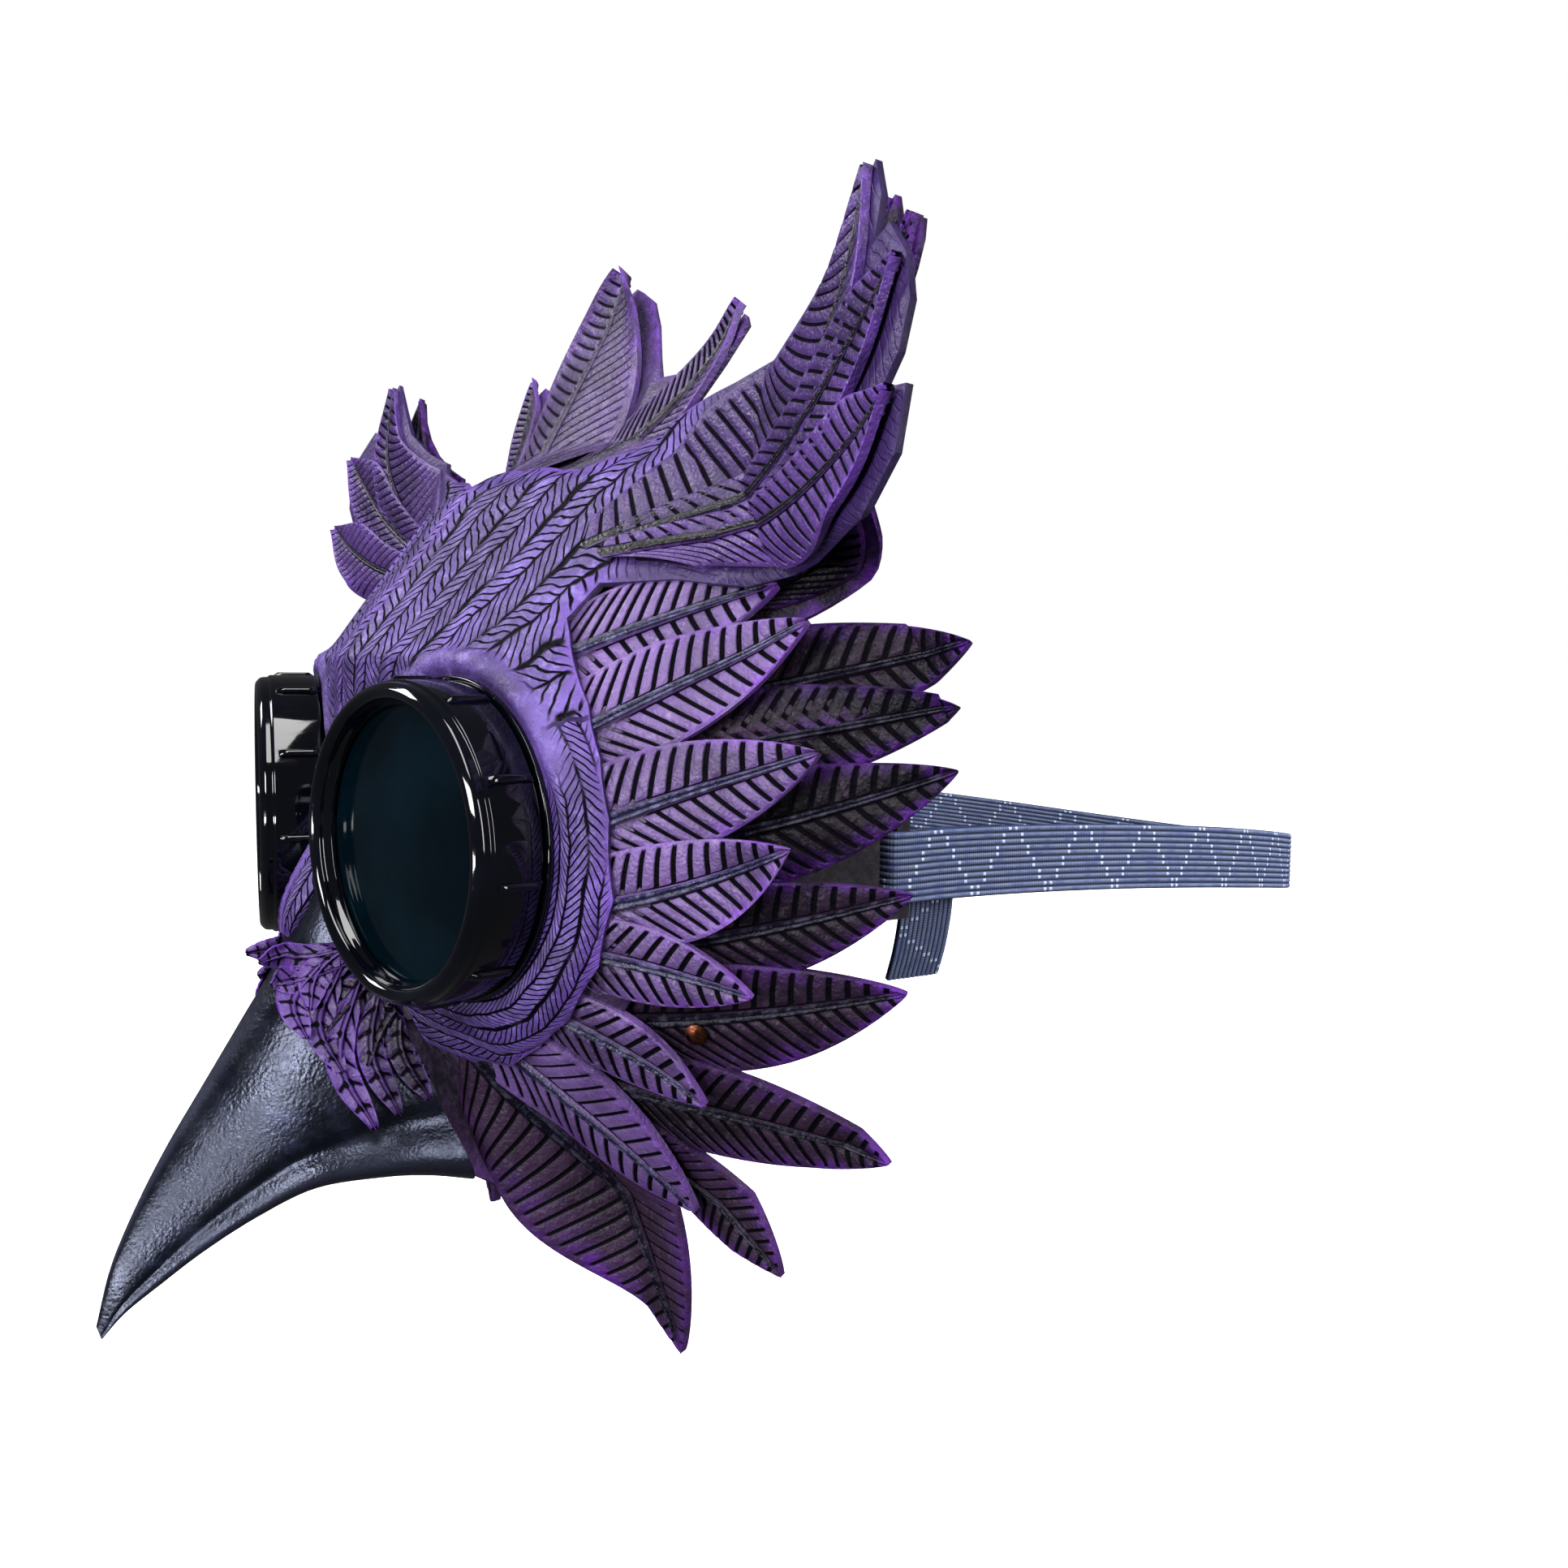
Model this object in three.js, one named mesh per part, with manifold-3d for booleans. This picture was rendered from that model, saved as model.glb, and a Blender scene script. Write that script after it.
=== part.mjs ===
// Raven mask in layered, moulded leather: a short hooked beak, two screw-capped goggles, a brow
// sheet that runs out into two ear wings, two rows of cheek feathers, a crest and an elastic strap.
// Millimetres. -Y is the way the beak points, +X the wearer's left, +Z up. The origin lies between
// the eyes, at the height of the goggles.
import * as THREE from 'three';
import Module from 'manifold-3d';

const wasm = await Module();
wasm.setup();

// goggles
const CAP_R = 32;                 // outside radius of a screw cap
const CAP_LEN = 16;               // flange plane to front rim
const CAP_OPENING_R = 28;
const EYE = [46.1, 15.6, 0];      // centre of the flange plane, wearer's left
const EYE_YAW = 12.5;             // degrees that each goggle looks outward
const SLEEVE_R = 28.4;
const SLEEVE_BORE_R = 25.6;
const EYE_HOLE_R = 29.2;          // hole through every leather layer
const RIBS = 10;
const RING_SEGMENTS = 32;
const HOLE_SEGMENTS = 24;

// leather
const LEATHER = 1.9;              // thickness of a layer along Y
const LAYER_STEP = 2.6;           // from the face of one layer to the face of the next
const SEAT_R = 36;                // flat part round each goggle
const DISH_SLOPE = 0.75;          // how fast the face falls back outside the seat
const GRID = 10;                  // spacing of the points that carry a curved layer

// head band
const TAB_X = 86;
const TAB_THICK = 2.4;
const TAB_END_Y = 98;
const TAB_Z = [-17, 5];
const SLOT_Y = [90.2, 94.6];
const SLOT_Z = [-14.5, 2.5];
const STRAP_WIDTH = 15;
const STRAP_THICK = 1.4;
const STRAP_Z = -6;
const STRAP_SAG = 0.0005;         // drop per square millimetre behind the tab

const SIDES = [['left', 1], ['right', -1]];
const COLOURS = {
  brow: [0x6d50a8, 0.55, 0], cheek: [0x5b4376, 0.55, 0], rear: [0x3a2b42, 0.55, 0],
  beak: [0x15161f, 0.4, 0], lining: [0x121114, 0.8, 0], cap: [0x070912, 0.18, 0],
  lens: [0x06141f, 0.05, 0], gasket: [0x0a0a0b, 0.7, 0], copper: [0x9a5a34, 0.35, 0.9],
  strap: [0x161b2c, 0.85, 0],
};

const rad = THREE.MathUtils.degToRad;
const ease = THREE.MathUtils.smoothstep;

// ---- joining and cutting ----

function toSolid(geometry) {
  const g = geometry.index ? geometry.toNonIndexed() : geometry.clone();
  const verts = new Float32Array(g.attributes.position.array);
  const mesh = new wasm.Mesh({
    numProp: 3, vertProperties: verts, triVerts: Uint32Array.from({ length: verts.length / 3 }, (_, i) => i),
  });
  mesh.merge();
  return new wasm.Manifold(mesh);
}

function toMesh(name, solid, [colour, roughness, metalness]) {
  const { vertProperties, triVerts } = solid.getMesh();
  const geometry = new THREE.BufferGeometry();
  geometry.setAttribute('position', new THREE.BufferAttribute(new Float32Array(vertProperties), 3));
  geometry.setIndex([...triVerts]);
  geometry.computeVertexNormals();
  const mesh = new THREE.Mesh(geometry, new THREE.MeshStandardMaterial({ color: colour, roughness, metalness }));
  mesh.name = name;
  return mesh;
}

const join = (solids) => solids.reduce((a, b) => a.add(b));

function outline(points) {
  return new THREE.Shape(points.map(([x, z]) => new THREE.Vector2(x, z)));
}

// A shape drawn in X and Z, pushed through the whole mask along Y.
function prismY(shape, from = -80, to = 160) {
  const g = new THREE.ExtrudeGeometry(shape, { depth: to - from, bevelEnabled: false, steps: 1 });
  return toSolid(g.rotateX(Math.PI / 2).translate(0, to, 0));
}

function prismX(points, from, to) {
  const shape = new THREE.Shape(points.map(([y, z]) => new THREE.Vector2(y, z)));
  const g = new THREE.ExtrudeGeometry(shape, { depth: to - from, bevelEnabled: false, steps: 1 });
  return toSolid(g.rotateX(Math.PI / 2).rotateZ(Math.PI / 2).translate(from, 0, 0));
}

function box(x, y, z) {
  const g = new THREE.BoxGeometry(x[1] - x[0], y[1] - y[0], z[1] - z[0]);
  return toSolid(g.translate((x[0] + x[1]) / 2, (y[0] + y[1]) / 2, (z[0] + z[1]) / 2));
}

// ---- the faces that the leather is moulded to: depth along Y at a place in X and Z ----

function dishDepth(x, z) {
  const side = Math.hypot(x, 8);
  const out = Math.max(Math.abs(x) - EYE[0], 0);
  const reach = Math.hypot(out, z);
  const flattened = reach < 80 || z > 0 && Math.abs(x) < 60 ? reach : 80 + 0.3 * (reach - 80);
  const slope = z < 0 ? 0.3 + (DISH_SLOPE - 0.3) * ease(Math.abs(x), 26, 46) : DISH_SLOPE;
  return EYE[1] + 0.6 + Math.tan(rad(EYE_YAW)) * (side - EYE[0]) + slope * Math.max(flattened - SEAT_R, 0);
}

function browDepth(x, z) {
  const wingCup = 0.55 * Math.max(0, Math.abs(x) - 88) * ease(z, 38, 60);
  const crown = 0.9 * Math.max(0, z - 74) * (1 - ease(Math.abs(x), 40, 75));
  const across = Math.max(0, 1 - (x / 12.5) ** 2);
  const bridge = 15 * across ** 2 * ease(-z, -12, 22);
  return dishDepth(x, z) - wingCup + crown - bridge;
}

const cheekDepth = (x, z) => dishDepth(x, z) + LAYER_STEP;

function rearDepth(x, z) {
  const out = Math.max(Math.abs(x) - EYE[0] - 30, 0);
  const wing = ease(z, 45, 70);
  const wingCup = 0.52 * Math.max(0, Math.abs(x) - 88);
  return dishDepth(x, z) + 2 * LAYER_STEP + 0.2 * out * (1 - wing) - wingCup * wing;
}

const liningDepth = (x, z) => rearDepth(x, z) + LAYER_STEP;
const tabDepth = (x, z) => liningDepth(x, z) + LAYER_STEP;

// The crest backs the brow's upper edge, then leans back above it.
function crestDepth(x, z) {
  const edge = 84;
  return browDepth(x, Math.min(z, edge)) + LAYER_STEP + 1 + 0.55 * Math.max(0, z - edge);
}

// A curved sheet of even depth over a rectangle of X and Z. All sheets share one grid of points, so
// that layers one behind the other keep their spacing.
function sheet(depth, spanX, spanZ) {
  const [x0, z0] = [spanX, spanZ].map(([a]) => Math.floor(a / GRID) * GRID);
  const nx = Math.ceil((spanX[1] - x0) / GRID);
  const nz = Math.ceil((spanZ[1] - z0) / GRID);
  const verts = [];
  for (const back of [0, LEATHER]) {
    for (let j = 0; j <= nz; j++) {
      for (let i = 0; i <= nx; i++) {
        const [x, z] = [x0 + i * GRID, z0 + j * GRID];
        verts.push(x, depth(x, z) + back, z);
      }
    }
  }
  const layer = (nx + 1) * (nz + 1);
  const at = (i, j, back) => back * layer + j * (nx + 1) + i;
  const tris = [];
  const quad = (a, b, c, d) => tris.push(a, b, d, b, c, d);
  for (let j = 0; j < nz; j++) {
    for (let i = 0; i < nx; i++) {
      quad(at(i, j, 0), at(i + 1, j, 0), at(i + 1, j + 1, 0), at(i, j + 1, 0));
      quad(at(i, j, 1), at(i, j + 1, 1), at(i + 1, j + 1, 1), at(i + 1, j, 1));
    }
  }
  for (let i = 0; i < nx; i++) {
    quad(at(i + 1, 0, 0), at(i, 0, 0), at(i, 0, 1), at(i + 1, 0, 1));
    quad(at(i, nz, 0), at(i + 1, nz, 0), at(i + 1, nz, 1), at(i, nz, 1));
  }
  for (let j = 0; j < nz; j++) {
    quad(at(0, j, 0), at(0, j + 1, 0), at(0, j + 1, 1), at(0, j, 1));
    quad(at(nx, j + 1, 0), at(nx, j, 0), at(nx, j, 1), at(nx, j + 1, 1));
  }
  return new wasm.Manifold(new wasm.Mesh({
    numProp: 3, vertProperties: new Float32Array(verts), triVerts: new Uint32Array(tris),
  }));
}

// ---- feathers ----

// One feather seen from the front: a bent leaf from root to tip.
function leaf([x0, z0], [x1, z1], width, bend = 0) {
  const length = Math.hypot(x1 - x0, z1 - z0);
  const along = [(x1 - x0) / length, (z1 - z0) / length];
  const across = [-along[1], along[0]];
  const steps = 7;
  const edge = [];
  for (const side of [1, -1]) {
    for (let k = 0; k <= steps; k++) {
      const u = Math.sin((side > 0 ? k : steps - k) / steps * Math.PI / 2);
      if (side < 0 && k === 0) continue;
      const half = width / 2 * (0.72 + 0.28 * Math.sin(Math.PI * u)) * Math.max(1 - u ** 4, 0) ** 0.8;
      const off = side * half + bend * Math.sin(Math.PI * u);
      edge.push([x0 + along[0] * u * length + across[0] * off, z0 + along[1] * u * length + across[1] * off]);
    }
  }
  return outline(edge);
}

// [root, tip, width, bend] for the wearer's left
const CHEEK_FEATHERS = [
  [[62, 33], [99, 50], 22, 1], [[70, 16], [107, 42], 21, 1], [[74, 0], [113, 19.5], 21, 1],
  [[74, -12], [111, 3], 19, -2], [[72, -18], [103, -25], 17, 1], [[64, -30], [89.5, -47.5], 18, 1],
  [[42, -38], [72, -76], 33, 2],
];
const REAR_FEATHERS = [
  [[72, 20], [125, 39.5], 24, 1], [[74, 12], [124, 28], 21, 1], [[76, -2], [124, 16.5], 22, -2],
  [[72, -20], [119.5, -6], 20, -2], [[66, -34], [117.5, -24.5], 23, -2], [[56, -46], [110.5, -59], 24, 1],
  [[50, -50], [86, -88], 23, 1], [[32, -44], [54, -115.5], 35, 2],
];
const WING_BACKING = [
  [54, 30], [56, 74], [80, 86], [101, 95], [114, 106], [119, 118], [123, 111], [126, 104], [131, 111],
  [132, 104], [127, 92], [127, 80], [122, 66], [112, 54], [102, 46], [90, 36], [76, 26],
];
const RIVET = { headR: 2.2, headH: 1.0, shankR: 1.0 };
const REAR_RIVET = [88.5, -34.5];
const TAB_RIVETS = [[82, -11], [82, 0]];

const RING_ROOT = [31, 47];

function eyeHoles(radius = EYE_HOLE_R) {
  return join(SIDES.map(([, side]) => onEye(
    toSolid(new THREE.CylinderGeometry(radius, radius, 90, HOLE_SEGMENTS).rotateX(Math.PI / 2)), side)));
}

// Local Z is the goggle axis, pointing out of the mask from the flange plane.
function onEye(solid, side) {
  return solid.rotate([90, 0, side * EYE_YAW]).translate([side * EYE[0], EYE[1], EYE[2]]);
}

function featherRow(feathers, depth, side, extra = []) {
  const mirrored = ([x, z]) => [side * x, z];
  const ring = new THREE.Shape();
  ring.absarc(side * EYE[0], 0, RING_ROOT[1], 0, 2 * Math.PI);
  const wedge = prismY(outline([[30, 60], [110, 60], [110, -60], [30, -60]].map(mirrored)));
  const parts = feathers.map(([root, tip, width, bend]) =>
    prismY(leaf(mirrored(root), mirrored(tip), width, side * bend)));
  const cut = join([prismY(ring).intersect(wedge), ...parts, ...extra]);
  const span = side > 0 ? [26, 146] : [-146, -26];
  return sheet(depth, span, [-120, 122]).intersect(cut).subtract(eyeHoles());
}

function cheekFeathers(side) {
  return featherRow(CHEEK_FEATHERS, cheekDepth, side).subtract(beakBody(0.5, 4));
}

function rearFeathers(side) {
  const backing = prismY(outline(WING_BACKING.map(([x, z]) => [side * x, z])));
  return featherRow(REAR_FEATHERS, rearDepth, side, [backing])
    .subtract(beakBody(0.5, 4)).subtract(rivetHole(rearDepth, REAR_RIVET, side));
}

// ---- brow, crest, lining ----

// Right half of the outline, from the crown round the ear wing and the eye band to the bridge.
const BROW_EDGE = [
  [0, 80], [20, 79], [38, 76.5], [52, 82], [79, 90], [98, 97], [110, 104], [116, 112], [122, 120.5],
  [127, 113], [127, 105], [132, 107], [140, 100], [143.5, 92], [142, 84], [138, 79], [146, 78.5],
  [145, 68], [136, 58.5], [115, 52.5], [98, 49.5], [83, 51.5], [69, 51], [67, 44], [73, 36], [79, 28],
  [84, 18], [87, 7], [87.5, -8], [83, -21], [73.5, -33], [63, -40.5], [50, -47], [38, -48.5],
  [28, -45.5], [25, -38], [19, -31], [13, -24], [8, -19], [5, -26], [0, -24],
];
const CREST_EDGE = [
  [0, 129], [5, 127], [11, 125], [18, 118], [25, 108], [30, 101], [36, 101], [44, 106], [53, 113], [57, 110],
  [54, 101], [49, 92], [48, 80], [40, 72], [20, 74], [0, 74],
];
const LINING_EDGE = [
  [0, 68], [30, 70], [56, 66], [74, 54], [84, 34], [84, -20], [78, -38], [62, -52], [44, -58], [34, -56],
  [26, -44], [18, -30], [8, -10], [0, -6],
];

function mirroredOutline(half) {
  const other = half.slice(1, -1).reverse().map(([x, z]) => [-x, z]);
  return outline([...half, ...other]);
}

function browMask() {
  return sheet(browDepth, [-148, 148], [-52, 122]).intersect(prismY(mirroredOutline(BROW_EDGE)))
    .subtract(eyeHoles()).subtract(beakBody(0.5, 4));
}

function crest() {
  return sheet(crestDepth, [-58, 58], [70, 133]).intersect(prismY(mirroredOutline(CREST_EDGE)));
}

function faceLining() {
  const holes = SIDES.flatMap(([, side]) => TAB_RIVETS.map((spot) => rivetHole(tabDepth, spot, side)));
  return sheet(liningDepth, [-90, 90], [-62, 74]).intersect(prismY(mirroredOutline(LINING_EDGE)))
    .subtract(eyeHoles()).subtract(join(holes)).subtract(beakBody(0.5, 4));
}

// ---- beak ----

// ridge [y, z], lower rim [y, z] and half width, from the face to the tip
const BEAK_STATIONS = [
  [[-1, -10], [27, -79], 30], [[-5.5, -21], [17, -76.5], 29], [[-8.5, -31], [7, -75.5], 27],
  [[-16, -43.5], [-6, -76.5], 22.5], [[-24, -56], [-17, -82], 17], [[-32, -68.5], [-27, -89], 11.5],
  [[-38.5, -80.5], [-35, -95.5], 7.5], [[-43.5, -92], [-41.5, -101], 4.4], [[-46.6, -104], [-45.8, -106.5], 1.6],
];
// down the side of a section: [part of the height, part of the half width]
const BEAK_SIDE = [
  [0, 0.13], [0.05, 0.27], [0.14, 0.42], [0.28, 0.58], [0.44, 0.72], [0.6, 0.83], [0.7, 0.87], [0.77, 0.86],
  [0.84, 0.95], [0.91, 1], [0.97, 0.93], [1, 0.75],
];
const BEAK_WALL = 2.4;

// grow is added to every side; back lengthens the open end towards the face
function beakBody(grow, back) {
  const rings = BEAK_STATIONS.map(([ridge, rim, half]) => {
    const dy = rim[0] - ridge[0];
    const dz = rim[1] - ridge[1];
    const height = Math.hypot(dy, dz);
    const down = [dy / height, dz / height];
    const side = BEAK_SIDE.map(([v, w]) => {
      const s = -grow + v * (height + 2 * grow);
      return [Math.max(w * (half + grow), 0.2), ridge[0] + down[0] * s, ridge[1] + down[1] * s];
    });
    return [...side, ...[...side].reverse().map(([x, y, z]) => [-x, y, z])];
  });
  if (back > 0) rings.unshift(rings[0].map(([x, y, z]) => [x, y + back, z]));
  return loft(rings);
}

function loft(rings) {
  const n = rings[0].length;
  const verts = rings.flat(2);
  const centre = (ring) => [0, 1, 2].map((a) => ring.reduce((s, p) => s + p[a], 0) / n);
  verts.push(...centre(rings[0]), ...centre(rings.at(-1)));
  const tris = [];
  rings.slice(1).forEach((_, r) => {
    for (let i = 0; i < n; i++) {
      const [a, b] = [r * n + i, r * n + (i + 1) % n];
      tris.push(a, b, b + n, a, b + n, a + n);
    }
  });
  const [first, last] = [rings.length * n, rings.length * n + 1];
  for (let i = 0; i < n; i++) {
    const j = (i + 1) % n;
    tris.push(first, j, i, last, (rings.length - 1) * n + i, (rings.length - 1) * n + j);
  }
  const solid = new wasm.Manifold(new wasm.Mesh({
    numProp: 3, vertProperties: new Float32Array(verts), triVerts: new Uint32Array(tris),
  }));
  return solid.volume() < 0 ? new wasm.Manifold(new wasm.Mesh({
    numProp: 3, vertProperties: new Float32Array(verts), triVerts: new Uint32Array(tris).reverse(),
  })) : solid;
}

function beak() {
  return beakBody(0, 0).subtract(beakBody(-BEAK_WALL, 6));
}

// Small ragged feathers that lie over the root of the beak, drawn from the side in Y and Z.
const FRINGE_EDGE = [
  [-14, -27], [-11, -36], [-8, -34], [-7, -44], [-2, -42], [0, -51], [4, -63], [8, -56], [10, -61],
  [15, -58], [17, -50], [16, -38], [6, -28],
];

function noseFringe(side) {
  const x = side > 0 ? [0.6, 40] : [-40, -0.6];
  return beakBody(1.9, 0).subtract(beakBody(0.4, 4)).intersect(prismX(FRINGE_EDGE, ...x))
    .subtract(browAllowance());
}

function browAllowance() {
  return sheet((x, z) => browDepth(x, z) - 0.4, [-40, 40], [-50, 0])
    .add(sheet((x, z) => browDepth(x, z) + 0.4, [-40, 40], [-50, 0]));
}

// ---- goggles ----

// A turned ring from a closed section of [radius, distance along the axis].
function turned(section, segments = RING_SEGMENTS) {
  const points = [...section, section[0]].map(([r, t]) => new THREE.Vector2(r, t));
  return toSolid(new THREE.LatheGeometry(points, segments).rotateX(Math.PI / 2));
}

function lensCap(side) {
  const rim = CAP_LEN;
  const lip = rim - 4.6;
  const cap = turned([
    [CAP_R, 1.7], [CAP_R, rim - 2.6], [CAP_R - 0.8, rim - 0.9], [CAP_R - 2.2, rim], [CAP_OPENING_R + 0.8, rim - 0.3],
    [CAP_OPENING_R, rim - 1.4], [CAP_OPENING_R - 1, lip + 1.2], [CAP_OPENING_R - 1, lip],
    [SLEEVE_R + 0.7, lip], [SLEEVE_R + 0.7, 1.7],
  ]);
  const ribs = [];
  for (let k = 0; k < RIBS; k++) {
    const rib = toSolid(new THREE.BoxGeometry(1.6, 2, CAP_LEN - 6.2).translate(0, CAP_R - 0.2, CAP_LEN / 2 - 1.4));
    ribs.push(rib.rotate([0, 0, 8 + k * 360 / RIBS]));
  }
  return onEye(join([cap, ...ribs]), side);
}

function lens(side) {
  const face = CAP_LEN - 4.9;
  return onEye(turned([[0, face - 2], [SLEEVE_R - 0.2, face - 2], [SLEEVE_R - 0.2, face], [0, face + 0.6]]), side);
}

function gasket(side) {
  const top = CAP_LEN - 7.2;
  return onEye(turned([[SLEEVE_R - 0.2, top - 1.2], [SLEEVE_R - 0.2, top], [SLEEVE_BORE_R, top], [SLEEVE_BORE_R, top - 1.2]]),
    side);
}

function eyecup(side) {
  return onEye(turned([
    [CAP_R + 0.7, 0], [CAP_R + 0.7, 1.2], [SLEEVE_R, 1.2], [SLEEVE_R, 7.3], [SLEEVE_BORE_R, 7.3],
    [SLEEVE_BORE_R, -17], [SLEEVE_R, -17], [SLEEVE_R, 0],
  ]), side);
}

function lockRing(side) {
  const ring = turned([[SLEEVE_R + 5, -16.4], [SLEEVE_R + 5, -12.8], [SLEEVE_R + 0.4, -12.8], [SLEEVE_R + 0.4, -16.4]]);
  const notches = [];
  for (let k = 0; k < 6; k++) {
    notches.push(toSolid(new THREE.BoxGeometry(4, 4, 6).translate(0, SLEEVE_R + 6, -15)).rotate([0, 0, 60 * k]));
  }
  return onEye(ring.subtract(join(notches)), side);
}

// ---- rivets, tabs, strap ----

// The way that a layer's face points at a place, out of the mask.
function faceNormal(depth, [x, z]) {
  const d = 0.5;
  return new THREE.Vector3((depth(x + d, z) - depth(x - d, z)) / (2 * d), -1,
    (depth(x, z + d) - depth(x, z - d)) / (2 * d)).normalize();
}

function placed(geometry, depth, [x, z], side, lift) {
  const spot = [side * x, z];
  const normal = faceNormal(depth, spot);
  const turn = new THREE.Quaternion().setFromUnitVectors(new THREE.Vector3(0, 1, 0), normal);
  const at = new THREE.Vector3(spot[0], depth(...spot), spot[1]).addScaledVector(normal, lift);
  return toSolid(geometry.applyQuaternion(turn).translate(at.x, at.y, at.z));
}

function rivetHole(depth, spot, side) {
  const radius = RIVET.shankR + 0.35;
  return placed(new THREE.CylinderGeometry(radius, radius, 24, 12), depth, spot, side, 0);
}

// A domed head with its shank; up is the way that the head faces.
function rivetForm(up, shank) {
  const { headR, headH, shankR } = RIVET;
  const points = [[0, -shank], [shankR, -shank], [shankR, 0], [headR, 0], [headR * 0.8, headH * 0.7], [0, headH]];
  const g = new THREE.LatheGeometry(points.map(([r, t]) => new THREE.Vector2(r, t)), 16);
  return up > 0 ? g : g.rotateX(Math.PI);
}

const rearRivet = (side) => placed(rivetForm(1, LEATHER), rearDepth, REAR_RIVET, side, 0.8);
const tabRivet = (side, spot) => placed(rivetForm(-1, 3.6), tabDepth, spot, side, -LEATHER - 1.6);

function strapTab(side) {
  const foot = prismY(outline([[62, TAB_Z[0]], [TAB_X + TAB_THICK, TAB_Z[0]], [TAB_X + TAB_THICK, TAB_Z[1]],
    [62, TAB_Z[1]]]));
  const plate = box([TAB_X, TAB_X + TAB_THICK], [46.5, TAB_END_Y], TAB_Z)
    .subtract(box([TAB_X - 2, TAB_X + TAB_THICK + 2], SLOT_Y, SLOT_Z));
  const tab = sheet(tabDepth, [60, 92], [-20, 8]).intersect(foot).add(plate)
    .subtract(join(TAB_RIVETS.map((spot) => rivetHole(tabDepth, spot, 1)))).subtract(eyeHoles(SLEEVE_R + 5.6));
  return side > 0 ? tab : tab.mirror([1, 0, 0]);
}

// Half of the strap's line seen from above, from its sewn end round the bar of the tab to the back.
const STRAP_LINE = [
  [86.9, 124], [86.9, 102], [86.2, 99.6], [84.9, 97.5], [84.8, 94], [85.4, 92.6], [87.2, 92.2], [89.2, 92.6],
  [89.8, 94], [89.7, 99], [89, 110], [89, 150], [87, 185], [81, 215], [68, 245], [46, 270], [22, 281], [0, 284],
];

function ribbon(line, height, thick, samples) {
  const curve = new THREE.CatmullRomCurve3(line.map(([x, y]) => new THREE.Vector3(x, y, 0)), false, 'centripetal');
  const edges = [[], []];
  for (let k = 0; k <= samples; k++) {
    const p = curve.getPoint(k / samples);
    const t = curve.getTangent(k / samples);
    edges[0].push([p.x - t.y * thick / 2, p.y + t.x * thick / 2]);
    edges[1].push([p.x + t.y * thick / 2, p.y - t.x * thick / 2]);
  }
  const g = new THREE.ExtrudeGeometry(outline([...edges[0], ...edges[1].reverse()]), {
    depth: height, bevelEnabled: false, steps: 1,
  });
  return toSolid(g.translate(0, 0, -height / 2));
}

function strap() {
  const other = STRAP_LINE.slice(0, -1).reverse().map(([x, y]) => [-x, y]);
  const flat = ribbon([...STRAP_LINE, ...other], STRAP_WIDTH, STRAP_THICK, 90);
  return flat.warp((v) => { v[2] += STRAP_Z - STRAP_SAG * Math.max(0, v[1] - TAB_END_Y) ** 2; });
}

// The loose end of the strap, hanging inside the tab.
function strapTail(side) {
  const line = [[0, 0], [-0.6, 8], [-2.4, 16], [-5, 23]];
  const tail = ribbon(line, STRAP_WIDTH - 1, STRAP_THICK, 12).rotate([-90, 0, 0]);
  const placedTail = tail.translate([83.2, 107, -9]);
  return side > 0 ? placedTail : placedTail.mirror([1, 0, 0]);
}

const mask = new THREE.Group();
mask.name = 'plague_doctor_mask';
const put = (name, solid, look) => mask.add(toMesh(name, solid, COLOURS[look]));

put('brow_mask', browMask(), 'brow');
put('crest', crest(), 'cheek');
put('beak', beak(), 'beak');
put('face_lining', faceLining(), 'lining');
put('strap', strap(), 'strap');
for (const [name, side] of SIDES) {
  put(`cheek_feathers_${name}`, cheekFeathers(side), 'cheek');
  put(`rear_feathers_${name}`, rearFeathers(side), 'rear');
  put(`nose_fringe_${name}`, noseFringe(side), 'brow');
  put(`eyecup_${name}`, eyecup(side), 'cap');
  put(`lock_ring_${name}`, lockRing(side), 'cap');
  put(`lens_cap_${name}`, lensCap(side), 'cap');
  put(`lens_${name}`, lens(side), 'lens');
  put(`lens_gasket_${name}`, gasket(side), 'gasket');
  put(`strap_tab_${name}`, strapTab(side), 'lining');
  put(`strap_tail_${name}`, strapTail(side), 'strap');
  put(`rear_rivet_${name}`, rearRivet(side), 'copper');
  TAB_RIVETS.forEach((spot, k) => put(`tab_rivet_${name}_${k + 1}`, tabRivet(side, spot), 'copper'));
}

export default mask;
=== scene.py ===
"""Raven mask in tooled leather: the looks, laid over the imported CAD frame.

Forms are worked out in millimetres and turned to metres when a piece is made. -Y is the way the
beak points, +X the wearer's left, +Z up. h is always the height of a relief above a leather face.
"""
from math import cos, pi, radians, sin, tan

import bmesh
import bpy
import numpy as np
from mathutils import Matrix, Vector
from mathutils.bvhtree import BVHTree
from mathutils.geometry import delaunay_2d_cdt


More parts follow.
